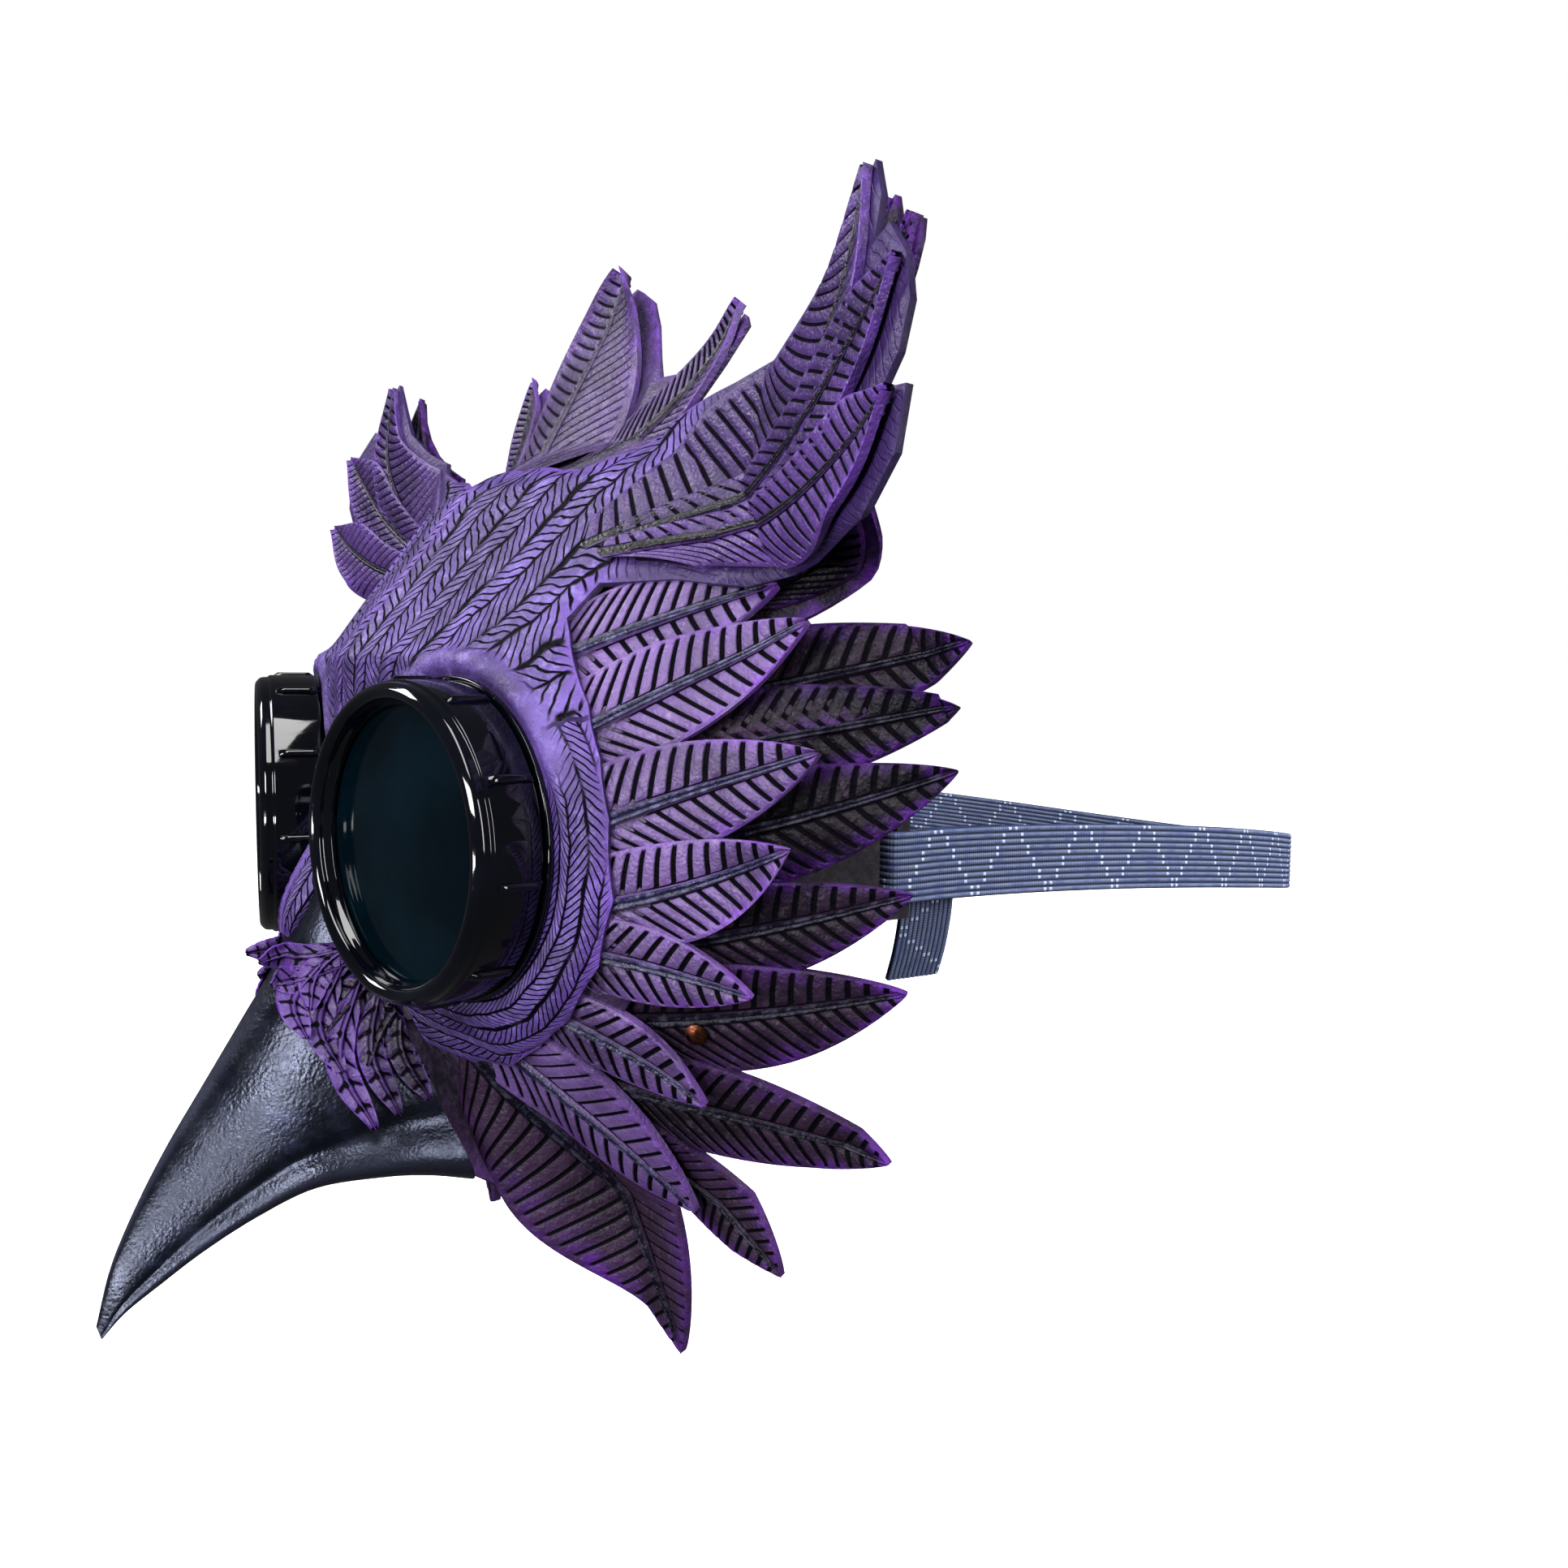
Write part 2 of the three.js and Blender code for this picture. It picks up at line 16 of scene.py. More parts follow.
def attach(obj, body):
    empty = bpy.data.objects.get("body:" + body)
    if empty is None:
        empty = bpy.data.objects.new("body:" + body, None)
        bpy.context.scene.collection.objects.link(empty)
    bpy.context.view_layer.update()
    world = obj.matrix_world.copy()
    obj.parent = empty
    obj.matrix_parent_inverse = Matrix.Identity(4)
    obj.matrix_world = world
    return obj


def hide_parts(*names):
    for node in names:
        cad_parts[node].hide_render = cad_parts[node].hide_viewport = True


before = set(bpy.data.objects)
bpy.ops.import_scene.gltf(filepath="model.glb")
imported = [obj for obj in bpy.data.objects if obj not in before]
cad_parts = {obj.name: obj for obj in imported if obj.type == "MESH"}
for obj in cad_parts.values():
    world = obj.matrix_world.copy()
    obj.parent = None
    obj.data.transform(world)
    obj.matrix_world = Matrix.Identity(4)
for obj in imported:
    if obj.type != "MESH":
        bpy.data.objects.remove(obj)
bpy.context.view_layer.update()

MM = 0.001
EYE = (46.1, 15.6, 0.0)      # centre of the goggle's flange plane, wearer's left
YAW = radians(12.5)
CAP_R = 32.0
CAP_LEN = 16.0
LEATHER = 1.9
STEP = 2.6                   # from the face of one leather layer to the next
FIELDS = ("groove", "edge", "quill", "back", "tone", "row", "run", "along", "across")
SIDES = (("left", 1), ("right", -1))
FLOOR_R, FLOOR_Z = 6.0, -0.15
HOLE_R = 29.6                # of the goggle's hole in the leather
LENS_R, SLEEVE_R = 28.2, 28.4


def new_object(name, data):
    obj = bpy.data.objects.new(name, data)
    bpy.context.scene.collection.objects.link(obj)
    return obj


def circle(count):
    """Angles of count even steps round a circle."""
    return np.linspace(0, 2 * pi, count, endpoint=False)


def unit(vectors):
    return vectors / np.linalg.norm(vectors, axis=-1, keepdims=True)


def left_of(vectors):
    """Vectors in a plane, turned anticlockwise by 90 degrees."""
    return np.stack([-vectors[..., 1], vectors[..., 0]], -1)


# ---- camera, light, floor ----

def camera():
    azimuth, elevation, roll = radians(56.82), radians(4.50), radians(0.47)
    back = Vector((sin(azimuth) * cos(elevation), -cos(azimuth) * cos(elevation), sin(elevation)))
    level = Vector((cos(azimuth), sin(azimuth), 0))
    up = back.cross(level)
    right = cos(roll) * level + sin(roll) * up
    top = cos(roll) * up - sin(roll) * level
    data = bpy.data.cameras.new("camera")
    data.sensor_width, data.lens, data.clip_start = 36, 33.76, 0.01
    obj = new_object("camera", data)
    turn = Matrix((right, top, back)).transposed().to_4x4()
    obj.matrix_world = Matrix.Translation((0.3278, -0.0899, 0.0347)) @ turn
    bpy.context.scene.camera = obj


def area_light(name, place, size, power, aim=(0.03, 0.04, 0.0), mirrored=True):
    data = bpy.data.lights.new(name, "AREA")
    data.shape, data.size, data.size_y, data.energy = "RECTANGLE", size[0], size[1], power
    obj = new_object(name, data)
    look = (Vector(aim) - Vector(place)).to_track_quat("-Z", "Y").to_matrix().to_4x4()
    obj.matrix_world = Matrix.Translation(place) @ look
    obj.visible_glossy = mirrored


def studio():
    world = bpy.data.worlds.new("studio")
    bpy.context.scene.world = world
    world.use_nodes = True
    tree = world.node_tree
    sky = tree.nodes["Background"]
    sky.inputs["Color"].default_value = (1, 1, 1, 1)
    sky.inputs["Strength"].default_value = 0.08
    seen = tree.nodes.new("ShaderNodeBackground")
    seen.inputs["Color"].default_value = (1, 1, 1, 1)
    rays = tree.nodes.new("ShaderNodeLightPath")
    choose = tree.nodes.new("ShaderNodeMixShader")
    tree.links.new(rays.outputs["Is Camera Ray"], choose.inputs[0])
    tree.links.new(sky.outputs[0], choose.inputs[1])
    tree.links.new(seen.outputs[0], choose.inputs[2])
    tree.links.new(choose.outputs[0], tree.nodes["World Output"].inputs["Surface"])
    bpy.context.scene.view_settings.view_transform = "Standard"
    area_light("overhead", (0.0, 0.0, 3.6), (24, 24), 1400, (0.0, 0.001, 0.0), mirrored=False)
    area_light("front", (0.56, -0.92, 0.38), (0.34, 0.3), 8)
    area_light("left", (-0.8, -0.75, 0.85), (0.4, 0.4), 9)
    area_light("strip", (0.45, -0.2, 1.0), (0.3, 0.9), 9)
    area_light("side", (1.15, 0.25, 0.3), (0.25, 0.7), 7)
    area_light("behind", (0.1, 1.5, 0.7), (1.4, 1.0), 42, (0.0, 0.08, 0.0), mirrored=False)
    area_light("low", (0.2, -0.8, -0.12), (0.5, 0.06), 3.5)


# ---- materials ----

def lin(red, green, blue):
    """A colour given as screen values, for a shader."""
    return tuple((c / 255 / 12.92 if c / 255 <= 0.04045 else ((c / 255 + 0.055) / 1.055) ** 2.4)
                 for c in (red, green, blue)) + (1.0,)


class Graph:
    """A material, and short ways to add nodes to it."""

    def __init__(self, name):
        self.material = bpy.data.materials.new(name)
        self.material.use_nodes = True
        self.tree = self.material.node_tree
        self.shader = self.tree.nodes["Principled BSDF"]
        self.place = self.node("ShaderNodeTexCoord", "Object")

    def put(self, socket, value):
        if isinstance(value, bpy.types.NodeSocket):
            self.tree.links.new(value, socket)
        else:
            socket.default_value = value

    def node(self, kind, out=0, inputs=(), **settings):
        node = self.tree.nodes.new(kind)
        for key, value in settings.items():
            setattr(node, key, value)
        for key, value in dict(inputs).items():
            self.put(node.inputs[key], value)
        return node.outputs[out]

    def field(self, name):
        return self.node("ShaderNodeAttribute", "Fac", attribute_name=name)

    def math(self, how, a, b=0.0):
        return self.node("ShaderNodeMath", 0, {0: a, 1: b}, operation=how)

    def times(self, a, b):
        return self.math("MULTIPLY", a, b)

    def plus(self, a, b):
        return self.math("ADD", a, b)

    def minus(self, a, b):
        return self.math("SUBTRACT", a, b)

    def apart(self, a, b):
        return self.math("ABSOLUTE", self.minus(a, b))

    def between(self, value, low, high, to=(0.0, 1.0)):
        """Smooth step from to[0] below low to to[1] above high."""
        return self.node("ShaderNodeMapRange", 0, {0: value, 1: low, 2: high, 3: to[0], 4: to[1]},
                         interpolation_type="SMOOTHSTEP")

    def mix(self, share, a, b):
        return self.node("ShaderNodeMix", 2, {0: share, 6: a, 7: b}, data_type="RGBA")

    def noise(self, scale, detail=4.0, rough=0.55, stretch=None):
        place = self.place
        if stretch:
            place = self.node("ShaderNodeMapping", 0, {"Vector": place, "Scale": stretch})
        return self.node("ShaderNodeTexNoise", "Fac",
                         {"Vector": place, "Scale": scale, "Detail": detail, "Roughness": rough})

    def cells(self, scale, feature="F1"):
        return self.node("ShaderNodeTexVoronoi", "Distance", {"Vector": self.place, "Scale": scale},
                         feature=feature)

    def bump(self, height, distance, strength=1.0):
        return self.node("ShaderNodeBump", 0, {"Height": height, "Distance": distance, "Strength": strength})

    def finish(self, **sockets):
        for key, value in sockets.items():
            self.put(self.shader.inputs[key.replace("_", " ")], value)
        return self.material


def grain(g):
    """Leather grain: small cells with soft creases between them."""
    return g.plus(g.times(g.cells(1500, "SMOOTH_F1"), 0.7), g.noise(900, 3.0))


def suede(g):
    """The dark flesh side of the leather."""
    return g.mix(g.between(g.noise(300, 6.0, 0.7), 0.4, 0.7), lin(20, 16, 24), lin(44, 36, 54))


def feather_leather(name, dark, light, edge, quill, shaft_sheen, gloss=0.55):
    g = Graph(name)
    groove, rim, shaft, back = (g.field(k) for k in ("groove", "edge", "quill", "back"))
    patches = g.plus(g.times(g.noise(70, 5.0), 0.9), g.times(g.field("tone"), 0.5))
    skin = g.mix(g.between(patches, 0.42, 0.95), lin(*dark), lin(*light))
    # Small pale flecks: painted highlight, glints of light on the glossy grain.
    painted_highlight = lin(*[min(255, c + 62) for c in light])
    skin = g.mix(g.between(g.noise(420, 6.0, 0.7), 0.54, 0.78, (0.0, 0.4)), skin, painted_highlight)
    worn_edge = g.times(rim, g.between(g.noise(160, 4.0, 0.65), 0.38, 0.62, (0.15, 1.0)))
    skin = g.mix(worn_edge, skin, lin(*edge))
    # The shaft's lips get a painted highlight: a silvery sheen mottled between the shaft colour and the sheen
    # colour.
    painted_sheen = g.mix(g.between(g.noise(420, 4.0, 0.6), 0.44, 0.66), lin(*quill), lin(*shaft_sheen))
    skin = g.mix(g.between(shaft, 0.12, 0.45), skin, painted_sheen)
    skin = g.mix(g.between(shaft, 0.6, 0.95), skin, lin(*quill))
    skin = g.mix(g.between(groove, 0.25, 0.75), skin, lin(5, 4, 9))
    skin = g.mix(back, skin, suede(g))
    rough = g.between(g.noise(350, 5.0, 0.6), 0.3, 0.75, (0.3, 0.56))
    rough = g.minus(rough, g.times(shaft, 0.1))
    deep = g.math("MAXIMUM", back, groove)
    rough = g.plus(rough, g.times(deep, 0.3))
    shine = g.between(deep, 0.1, 0.7, (gloss, 0.05))
    creases = g.times(g.noise(240, 6.0, 0.7, (1.0, 1.6, 0.7)), 1.6)
    normal = g.bump(g.plus(grain(g), creases), 0.0003, 0.8)
    return g.finish(Base_Color=skin, Roughness=rough, Normal=normal, Specular_IOR_Level=shine)


# dark and light leather, worn edge, shaft, shaft sheen (painted highlight on the shaft's lips), then the
# shine
FEATHER_COLOURS = {
    "wing": ((36, 20, 60), (78, 50, 118), (92, 52, 148), (4, 3, 8), (22, 17, 34)),
    "cheek": ((44, 29, 60), (108, 82, 142), (110, 56, 166), (17, 14, 52), (78, 76, 112)),
    "rear": ((7, 5, 10), (52, 35, 58), (84, 36, 132), (8, 7, 22), (54, 52, 70), 0.2),
    "crest": ((38, 29, 52), (78, 58, 108), (100, 58, 154), (10, 8, 18), (60, 54, 78)),
    "fringe": ((20, 11, 30), (76, 44, 118), (90, 44, 148), (14, 9, 26), (50, 34, 70)),
}


def brow_leather():
    """Violet leather with rows of small tooled feathers; row counts across them, run is mm along them."""
    g = Graph("brow_leather")
    wander = g.minus(g.noise(55, 3.0), 0.5)
    row = g.plus(g.field("row"), g.times(wander, 0.55))
    run = g.plus(g.field("run"), g.times(g.minus(g.noise(120, 2.0), 0.5), 3.0))
    number = g.math("FLOOR", row)
    out = g.times(g.apart(g.math("FRACT", row), 0.5), 2.0)
    slant = g.plus(g.math("DIVIDE", run, 2.0), g.times(out, 2.4))
    beat = g.math("FRACT", g.plus(slant, g.times(number, 0.37)))
    barb = g.between(g.apart(beat, 0.5), 0.02, 0.16, (1.0, 0.0))
    barb = g.times(barb, g.between(g.noise(75, 3.0), 0.3, 0.44, (0.55, 1.0)))
    gap = g.times(g.between(out, 0.84, 1.0), g.between(g.noise(90, 3.0), 0.36, 0.55, (0.3, 1.0)))
    middle = g.between(out, 0.0, 0.10, (0.8, 0.0))
    plain = g.minus(1.0, g.field("quill"))
    cut = g.math("MAXIMUM", g.math("MAXIMUM", g.times(barb, 0.9), middle), gap)
    cut = g.math("MAXIMUM", g.times(cut, plain), g.field("groove"))
    slope = g.times(g.times(beat, 0.35), plain)
    skin = g.mix(g.between(g.noise(45, 5.0, 0.6), 0.36, 0.66), lin(60, 42, 98), lin(100, 74, 158))
    # Pale violet flecks: painted highlight, glints on the glossy tooled leather.
    skin = g.mix(g.between(g.noise(300, 6.0, 0.75), 0.5, 0.72, (0, 0.55)), skin, lin(150, 126, 212))
    skin = g.mix(g.times(g.field("edge"), 0.4), skin, lin(112, 68, 178))
    shade = g.between(g.noise(34, 4.0, 0.6), 0.48, 0.68, (0.0, 0.65))
    skin = g.mix(shade, skin, lin(44, 30, 70))
    skin = g.mix(g.between(cut, 0.1, 0.45), skin, lin(6, 4, 14))
    skin = g.mix(g.times(g.field("tone"), 0.92), skin, lin(46, 26, 78))
    skin = g.mix(g.field("back"), skin, suede(g))
    height = g.plus(g.minus(slope, cut), g.times(grain(g), 0.16))
    height = g.plus(height, g.times(g.noise(210, 6.0, 0.7), 0.7))
    rough = g.between(g.noise(400, 5.0), 0.3, 0.75, (0.36, 0.58))
    shine = g.between(g.math("MAXIMUM", cut, g.field("back")), 0.1, 0.7, (0.5, 0.05))
    return g.finish(Base_Color=skin, Roughness=rough, Normal=g.bump(height, 0.0009), Specular_IOR_Level=shine)


def beak_leather():
    """Black hardened leather with a dull shine and brushed grey-blue patches; the patches down the middle of
    each side and the lighter ridge and roll lines are painted highlights.
    """
    g = Graph("beak_leather")
    brushed = g.noise(50, 8.0, 0.68, (1.0, 1.0, 2.0))
    # Painted highlight: brushed grey-blue patches where the tone field is high, down the middle of each side.
    painted_sheen = g.times(g.between(brushed, 0.48, 0.72), g.field("tone"))
    skin = g.mix(g.between(g.noise(25, 4.0), 0.35, 0.7), lin(3, 4, 9), lin(8, 10, 20))
    skin = g.mix(painted_sheen, skin, lin(40, 44, 68))
    # Lighter lines on the ridge and the lower roll: painted highlight.
    skin = g.mix(g.times(g.field("edge"), 0.5), skin, lin(52, 54, 72))
    skin = g.mix(g.field("back"), skin, lin(12, 10, 13))
    dents = g.plus(g.times(brushed, 0.6), g.times(grain(g), 0.25))
    rough = g.between(g.noise(130, 5.0, 0.6), 0.3, 0.7, (0.2, 0.36))
    rough = g.plus(rough, g.times(g.field("back"), 0.4))
    return g.finish(Base_Color=skin, Roughness=rough, Normal=g.bump(dents, 0.0006, 0.6),
                    Specular_IOR_Level=0.65, Specular_Tint=(0.66, 0.72, 1.0, 1.0))


def lining_leather():
    g = Graph("lining_leather")
    nap = g.noise(650, 8.0, 0.75)
    skin = g.mix(g.between(nap, 0.35, 0.7), lin(34, 31, 37), lin(66, 61, 70))
    skin = g.mix(g.between(g.noise(40, 3.0), 0.45, 0.7, (0, 0.5)), skin, lin(12, 11, 14))
    height = g.plus(g.times(nap, 0.5), g.times(g.cells(1200), 0.5))
    return g.finish(Base_Color=skin, Roughness=g.between(nap, 0.3, 0.8, (0.75, 0.95)),
                    Normal=g.bump(height, 0.0002, 0.8), Specular_IOR_Level=0.25)


def goggle_plastic():
    """Black glossy plastic with a faint blue cast, moulding waviness and hairline scratches."""
    g = Graph("goggle_plastic")
    scratch = g.noise(500, 2.0, 0.5, (1.0, 0.08, 1.0))
    skin = g.mix(g.between(g.noise(60, 4.0), 0.4, 0.7), lin(2, 3, 8), lin(5, 7, 16))
    rough = g.between(scratch, 0.55, 0.75, (0.05, 0.14))
    wave = g.plus(g.noise(38, 2.0), g.times(scratch, 0.03))
    return g.finish(Base_Color=skin, Roughness=rough, Normal=g.bump(wave, 0.0007, 0.3),
                    Specular_IOR_Level=0.55)


def lens_glass():
    """Dark teal welding-type glass with fine dust."""
    g = Graph("lens_glass")
    dust = g.between(g.cells(210), 0.0, 0.055, (0.55, 0.0))
    haze = g.between(g.noise(35, 4.0), 0.4, 0.75)
    skin = g.mix(haze, lin(1, 8, 14), lin(3, 17, 26))
    skin = g.mix(g.times(dust, g.between(g.noise(95, 2.0), 0.55, 0.6)), skin, lin(140, 160, 170))
    rough = g.between(g.noise(160, 5.0), 0.35, 0.8, (0.05, 0.16))
    return g.finish(Base_Color=skin, Roughness=rough, Specular_IOR_Level=0.16)


def gasket_rubber():
    g = Graph("gasket_rubber")
    bloom = g.noise(500, 5.0, 0.6)
    skin = g.mix(g.between(bloom, 0.4, 0.7), lin(10, 10, 12), lin(26, 26, 30))
    return g.finish(Base_Color=skin, Roughness=g.between(bloom, 0.3, 0.7, (0.55, 0.8)),
                    Normal=g.bump(bloom, 0.0001, 0.5))


def rivet_copper():
    g = Graph("rivet_copper")
    tarnish = g.between(g.noise(420, 6.0, 0.65), 0.42, 0.68)
    skin = g.mix(tarnish, lin(96, 56, 38), lin(34, 20, 17))
    rough = g.between(g.noise(900, 3.0), 0.3, 0.7, (0.22, 0.5))
    return g.finish(Base_Color=skin, Metallic=1.0, Roughness=rough,
                    Normal=g.bump(g.noise(700, 4.0), 0.00012, 0.5))


def strap_elastic():
    """Ribbed elastic; a light thread zigzags over the cords. along and across are in mm."""
    g = Graph("strap_elastic")
    along, across = g.field("along"), g.field("across")
    cord = g.math("DIVIDE", across, STRAP_WIDTH / CORDS)
    pair = g.math("FLOOR", g.math("DIVIDE", cord, 2.0))
    target = g.times(g.plus(pair, 0.5), ZIGZAG / 2 / ((CORDS + 1) // 2))
    swing = g.math("PINGPONG", along, ZIGZAG / 2)
    near = g.between(g.apart(swing, target), 0.3, 0.5, (1.0, 0.0))
    round_ = g.between(g.apart(g.math("FRACT", cord), 0.5), 0.22, 0.34, (1.0, 0.0))
    dot = g.times(near, round_)
    rib = g.apart(g.math("FRACT", cord), 0.5)
    knit = g.apart(g.math("FRACT", g.math("DIVIDE", along, 0.55)), 0.5)
    # Pale crowns on the cords and dark furrows between them: painted highlight and painted shade over the
    # navy elastic.
    skin = g.mix(g.between(rib, 0.15, 0.5), lin(118, 130, 166), lin(14, 17, 32))
    skin = g.mix(g.between(knit, 0.0, 0.4, (0.5, 0.0)), skin, lin(16, 20, 36))
    skin = g.mix(g.between(g.noise(300, 5.0), 0.4, 0.7, (0, 0.5)), skin, lin(50, 66, 116))
    skin = g.mix(dot, skin, lin(196, 208, 246))
    height = g.minus(g.plus(g.times(knit, 0.35), dot), g.times(rib, 0.8))
    return g.finish(Base_Color=skin, Roughness=g.between(knit, 0.0, 0.5, (0.62, 0.86)),
                    Normal=g.bump(height, 0.0003, 0.9), Specular_IOR_Level=0.3)


def floor_paint():
    g = Graph("floor_paint")
    skin = g.mix(g.noise(3, 2.0), lin(238, 238, 240), lin(244, 244, 246))
    return g.finish(Base_Color=skin, Roughness=0.9, Specular_IOR_Level=0.1, Emission_Color=(1, 1, 1, 1),
                    Emission_Strength=0.4)


def shoot_floor():
    """A pale disc that the camera sees, without its glow on the mask."""
    mesh = bpy.data.meshes.new("floor")
    ring = [(FLOOR_R * cos(t), FLOOR_R * sin(t), FLOOR_Z) for t in circle(96)]
    mesh.from_pydata(ring, [], [tuple(range(len(ring)))])
    mesh.materials.append(floor_paint())
    floor = new_object("floor", mesh)
    floor.visible_glossy = floor.visible_diffuse = False


# ---- the leather faces: depth along Y at a place in X and Z, as in the CAD ----

def ease(value, low, high):
    t = np.clip((value - low) / (high - low), 0, 1)
    return t * t * (3 - 2 * t)


def dish_depth(x, z):
    side = np.hypot(x, 8)
    reach = np.hypot(np.maximum(np.abs(x) - EYE[0], 0), z)
    keep = (reach < 80) | ((z > 0) & (np.abs(x) < 60))
    reach = np.where(keep, reach, 80 + 0.3 * (reach - 80))
    slope = np.where(z < 0, 0.3 + 0.45 * ease(np.abs(x), 26, 46), 0.75)
    return EYE[1] + 0.6 + tan(YAW) * (side - EYE[0]) + slope * np.maximum(reach - 36, 0)


def brow_depth(x, z):
    cup = 0.55 * np.maximum(0, np.abs(x) - 88) * ease(z, 38, 60)
    crown = 0.9 * np.maximum(0, z - 74) * (1 - ease(np.abs(x), 40, 75))
    bridge = 15 * np.maximum(0, 1 - (x / 12.5) ** 2) ** 2 * ease(-z, -12, 22)
    return dish_depth(x, z) - cup + crown - bridge


def cheek_depth(x, z):
    return dish_depth(x, z) + STEP


def rear_depth(x, z):
    wing = ease(z, 45, 70)
    cup = 0.52 * np.maximum(0, np.abs(x) - 88)
    flare = 0.2 * np.maximum(np.abs(x) - EYE[0] - 30, 0)
    return dish_depth(x, z) + 2 * STEP + flare * (1 - wing) - cup * wing


def lining_depth(x, z):
    return rear_depth(x, z) + STEP


def tab_depth(x, z):
    return lining_depth(x, z) + STEP


def crest_depth(x, z):
    return brow_depth(x, np.minimum(z, 84)) + STEP + 1 + 0.55 * np.maximum(0, z - 84)


def raised(depth, x, z, h):
    """Points at height h above a leather face, out of the mask."""
    d = 0.4
    normal = np.stack([(depth(x + d, z) - depth(x - d, z)) / (2 * d), -np.ones_like(x),
                       (depth(x, z + d) - depth(x, z - d)) / (2 * d)], -1)
    return np.stack([x, depth(x, z), z], -1) + unit(normal) * np.asarray(h)[..., None]


# ---- building meshes ----

def grid(rows, columns, start=0, closed=False):
    wide = columns if closed else columns - 1
    return [(start + i * columns + j, start + (i + 1) * columns + j,
             start + (i + 1) * columns + (j + 1) % columns, start + i * columns + (j + 1) % columns)
            for i in range(rows - 1) for j in range(wide)]


class Form:
    """The parts of one piece, gathered before its mesh is made."""

    def __init__(self):
        self.verts, self.faces, self.fields, self.count = [], [], {k: [] for k in FIELDS}, 0

    def add(self, verts, faces, side=1, **fields):
        verts = np.array(verts, float).reshape(-1, 3) * (side, 1, 1)
        self.verts.append(verts)
        self.faces += [tuple(k + self.count for k in (f if side > 0 else f[::-1])) for f in faces]
        for key in FIELDS:
            values = np.asarray(fields.get(key, 0.0), float).reshape(-1)
            self.fields[key].append(np.broadcast_to(values, len(verts)))
        self.count += len(verts)

    def make(self, name, material, nodes, slot, body="mask", sharp=50, merge=0.0):
        mesh = bpy.data.meshes.new(name)
        mesh.from_pydata((np.concatenate(self.verts) * MM).tolist(), [], self.faces)
        for key, parts in self.fields.items():
            values = np.concatenate(parts).astype(np.float32)
            if values.any():
                mesh.attributes.new(key, "FLOAT", "POINT").data.foreach_set("value", values)
        clean(mesh, merge)
        mesh.shade_smooth()
        mesh.set_sharp_from_angle(angle=radians(sharp))
        mesh.materials.append(material)
        return lay_over(new_object(name, mesh), nodes, body)


def lay_over(obj, nodes, body="mask"):
    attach(obj, body)
    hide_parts(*nodes)
    return obj


def clean(mesh, merge):
    """Welds points closer than merge and turns every face outward."""
    work = bmesh.new()
    work.from_mesh(mesh)
    if merge:
        bmesh.ops.remove_doubles(work, verts=work.verts, dist=merge * MM)
    bmesh.ops.recalc_face_normals(work, faces=work.faces)
    work.to_mesh(mesh)
    work.free()


def curve_through(points):
    """Catmull-Rom curve through points of any width, as a function of t from 0 to 1."""
    p = np.asarray(points, float)
    p = p[:, None] if p.ndim == 1 else p
    full = np.vstack([2 * p[0] - p[1], p, 2 * p[-1] - p[-2]])

    def at(t):
        s = np.clip(np.asarray(t, float), 0, 1) * (len(p) - 1)
        k = np.minimum(s.astype(int), len(p) - 2)
        u = (s - k)[..., None]
        a, b, c, d = (full[k + i] for i in range(4))
        return 0.5 * (2 * b + (c - a) * u + (2 * a - 5 * b + 4 * c - d) * u ** 2
                      + (3 * b - a - 3 * c + d) * u ** 3)
    return at


def leaf_shape(root, tip, width, bend):
    """Middle line and half widths of a leaf, as the CAD cuts it."""
    root, tip = np.array(root, float), np.array(tip, float)
    length = np.linalg.norm(tip - root)
    along = (tip - root) / length
    across = left_of(along)

    def at(a):
        half = width / 2 * (0.72 + 0.28 * np.sin(pi * a)) * np.maximum(1 - np.minimum(a, 1) ** 4, 0) ** 0.8
        middle = root + along * (a[..., None] * length) + across * (bend * np.sin(pi * a))[..., None]
        return middle, np.broadcast_to(across, middle.shape), half, half
    return at, length


def spine_shape(points, upper, lower):
    """A leaf along a curved middle line, with its own half width above and below at even steps."""
    line, above, below = curve_through(points), curve_through(upper), curve_through(lower)
    length = np.linalg.norm(np.diff(line(np.linspace(0, 1, 60)), axis=0), axis=1).sum()

    def at(a):
        across = left_of(unit(line(a + 0.01) - line(a - 0.01)))
        return line(a), across, above(a)[..., 0], below(a)[..., 0]
    return at, length


VANE = (0.06, 0.2, 0.36, 0.52, 0.68, 0.8, 0.88, 0.94, 0.98, 1.0)
# part of the shaft's width, height, share of the shaft's colour (the middling shares, on the lips, take the
# painted sheen)
SHAFT = ((0.0, 0.55, 1.0), (0.42, 0.95, 0.55), (0.75, 0.9, 0.5), (1.0, 0.25, 0.2), (1.22, -0.35, 0.0))


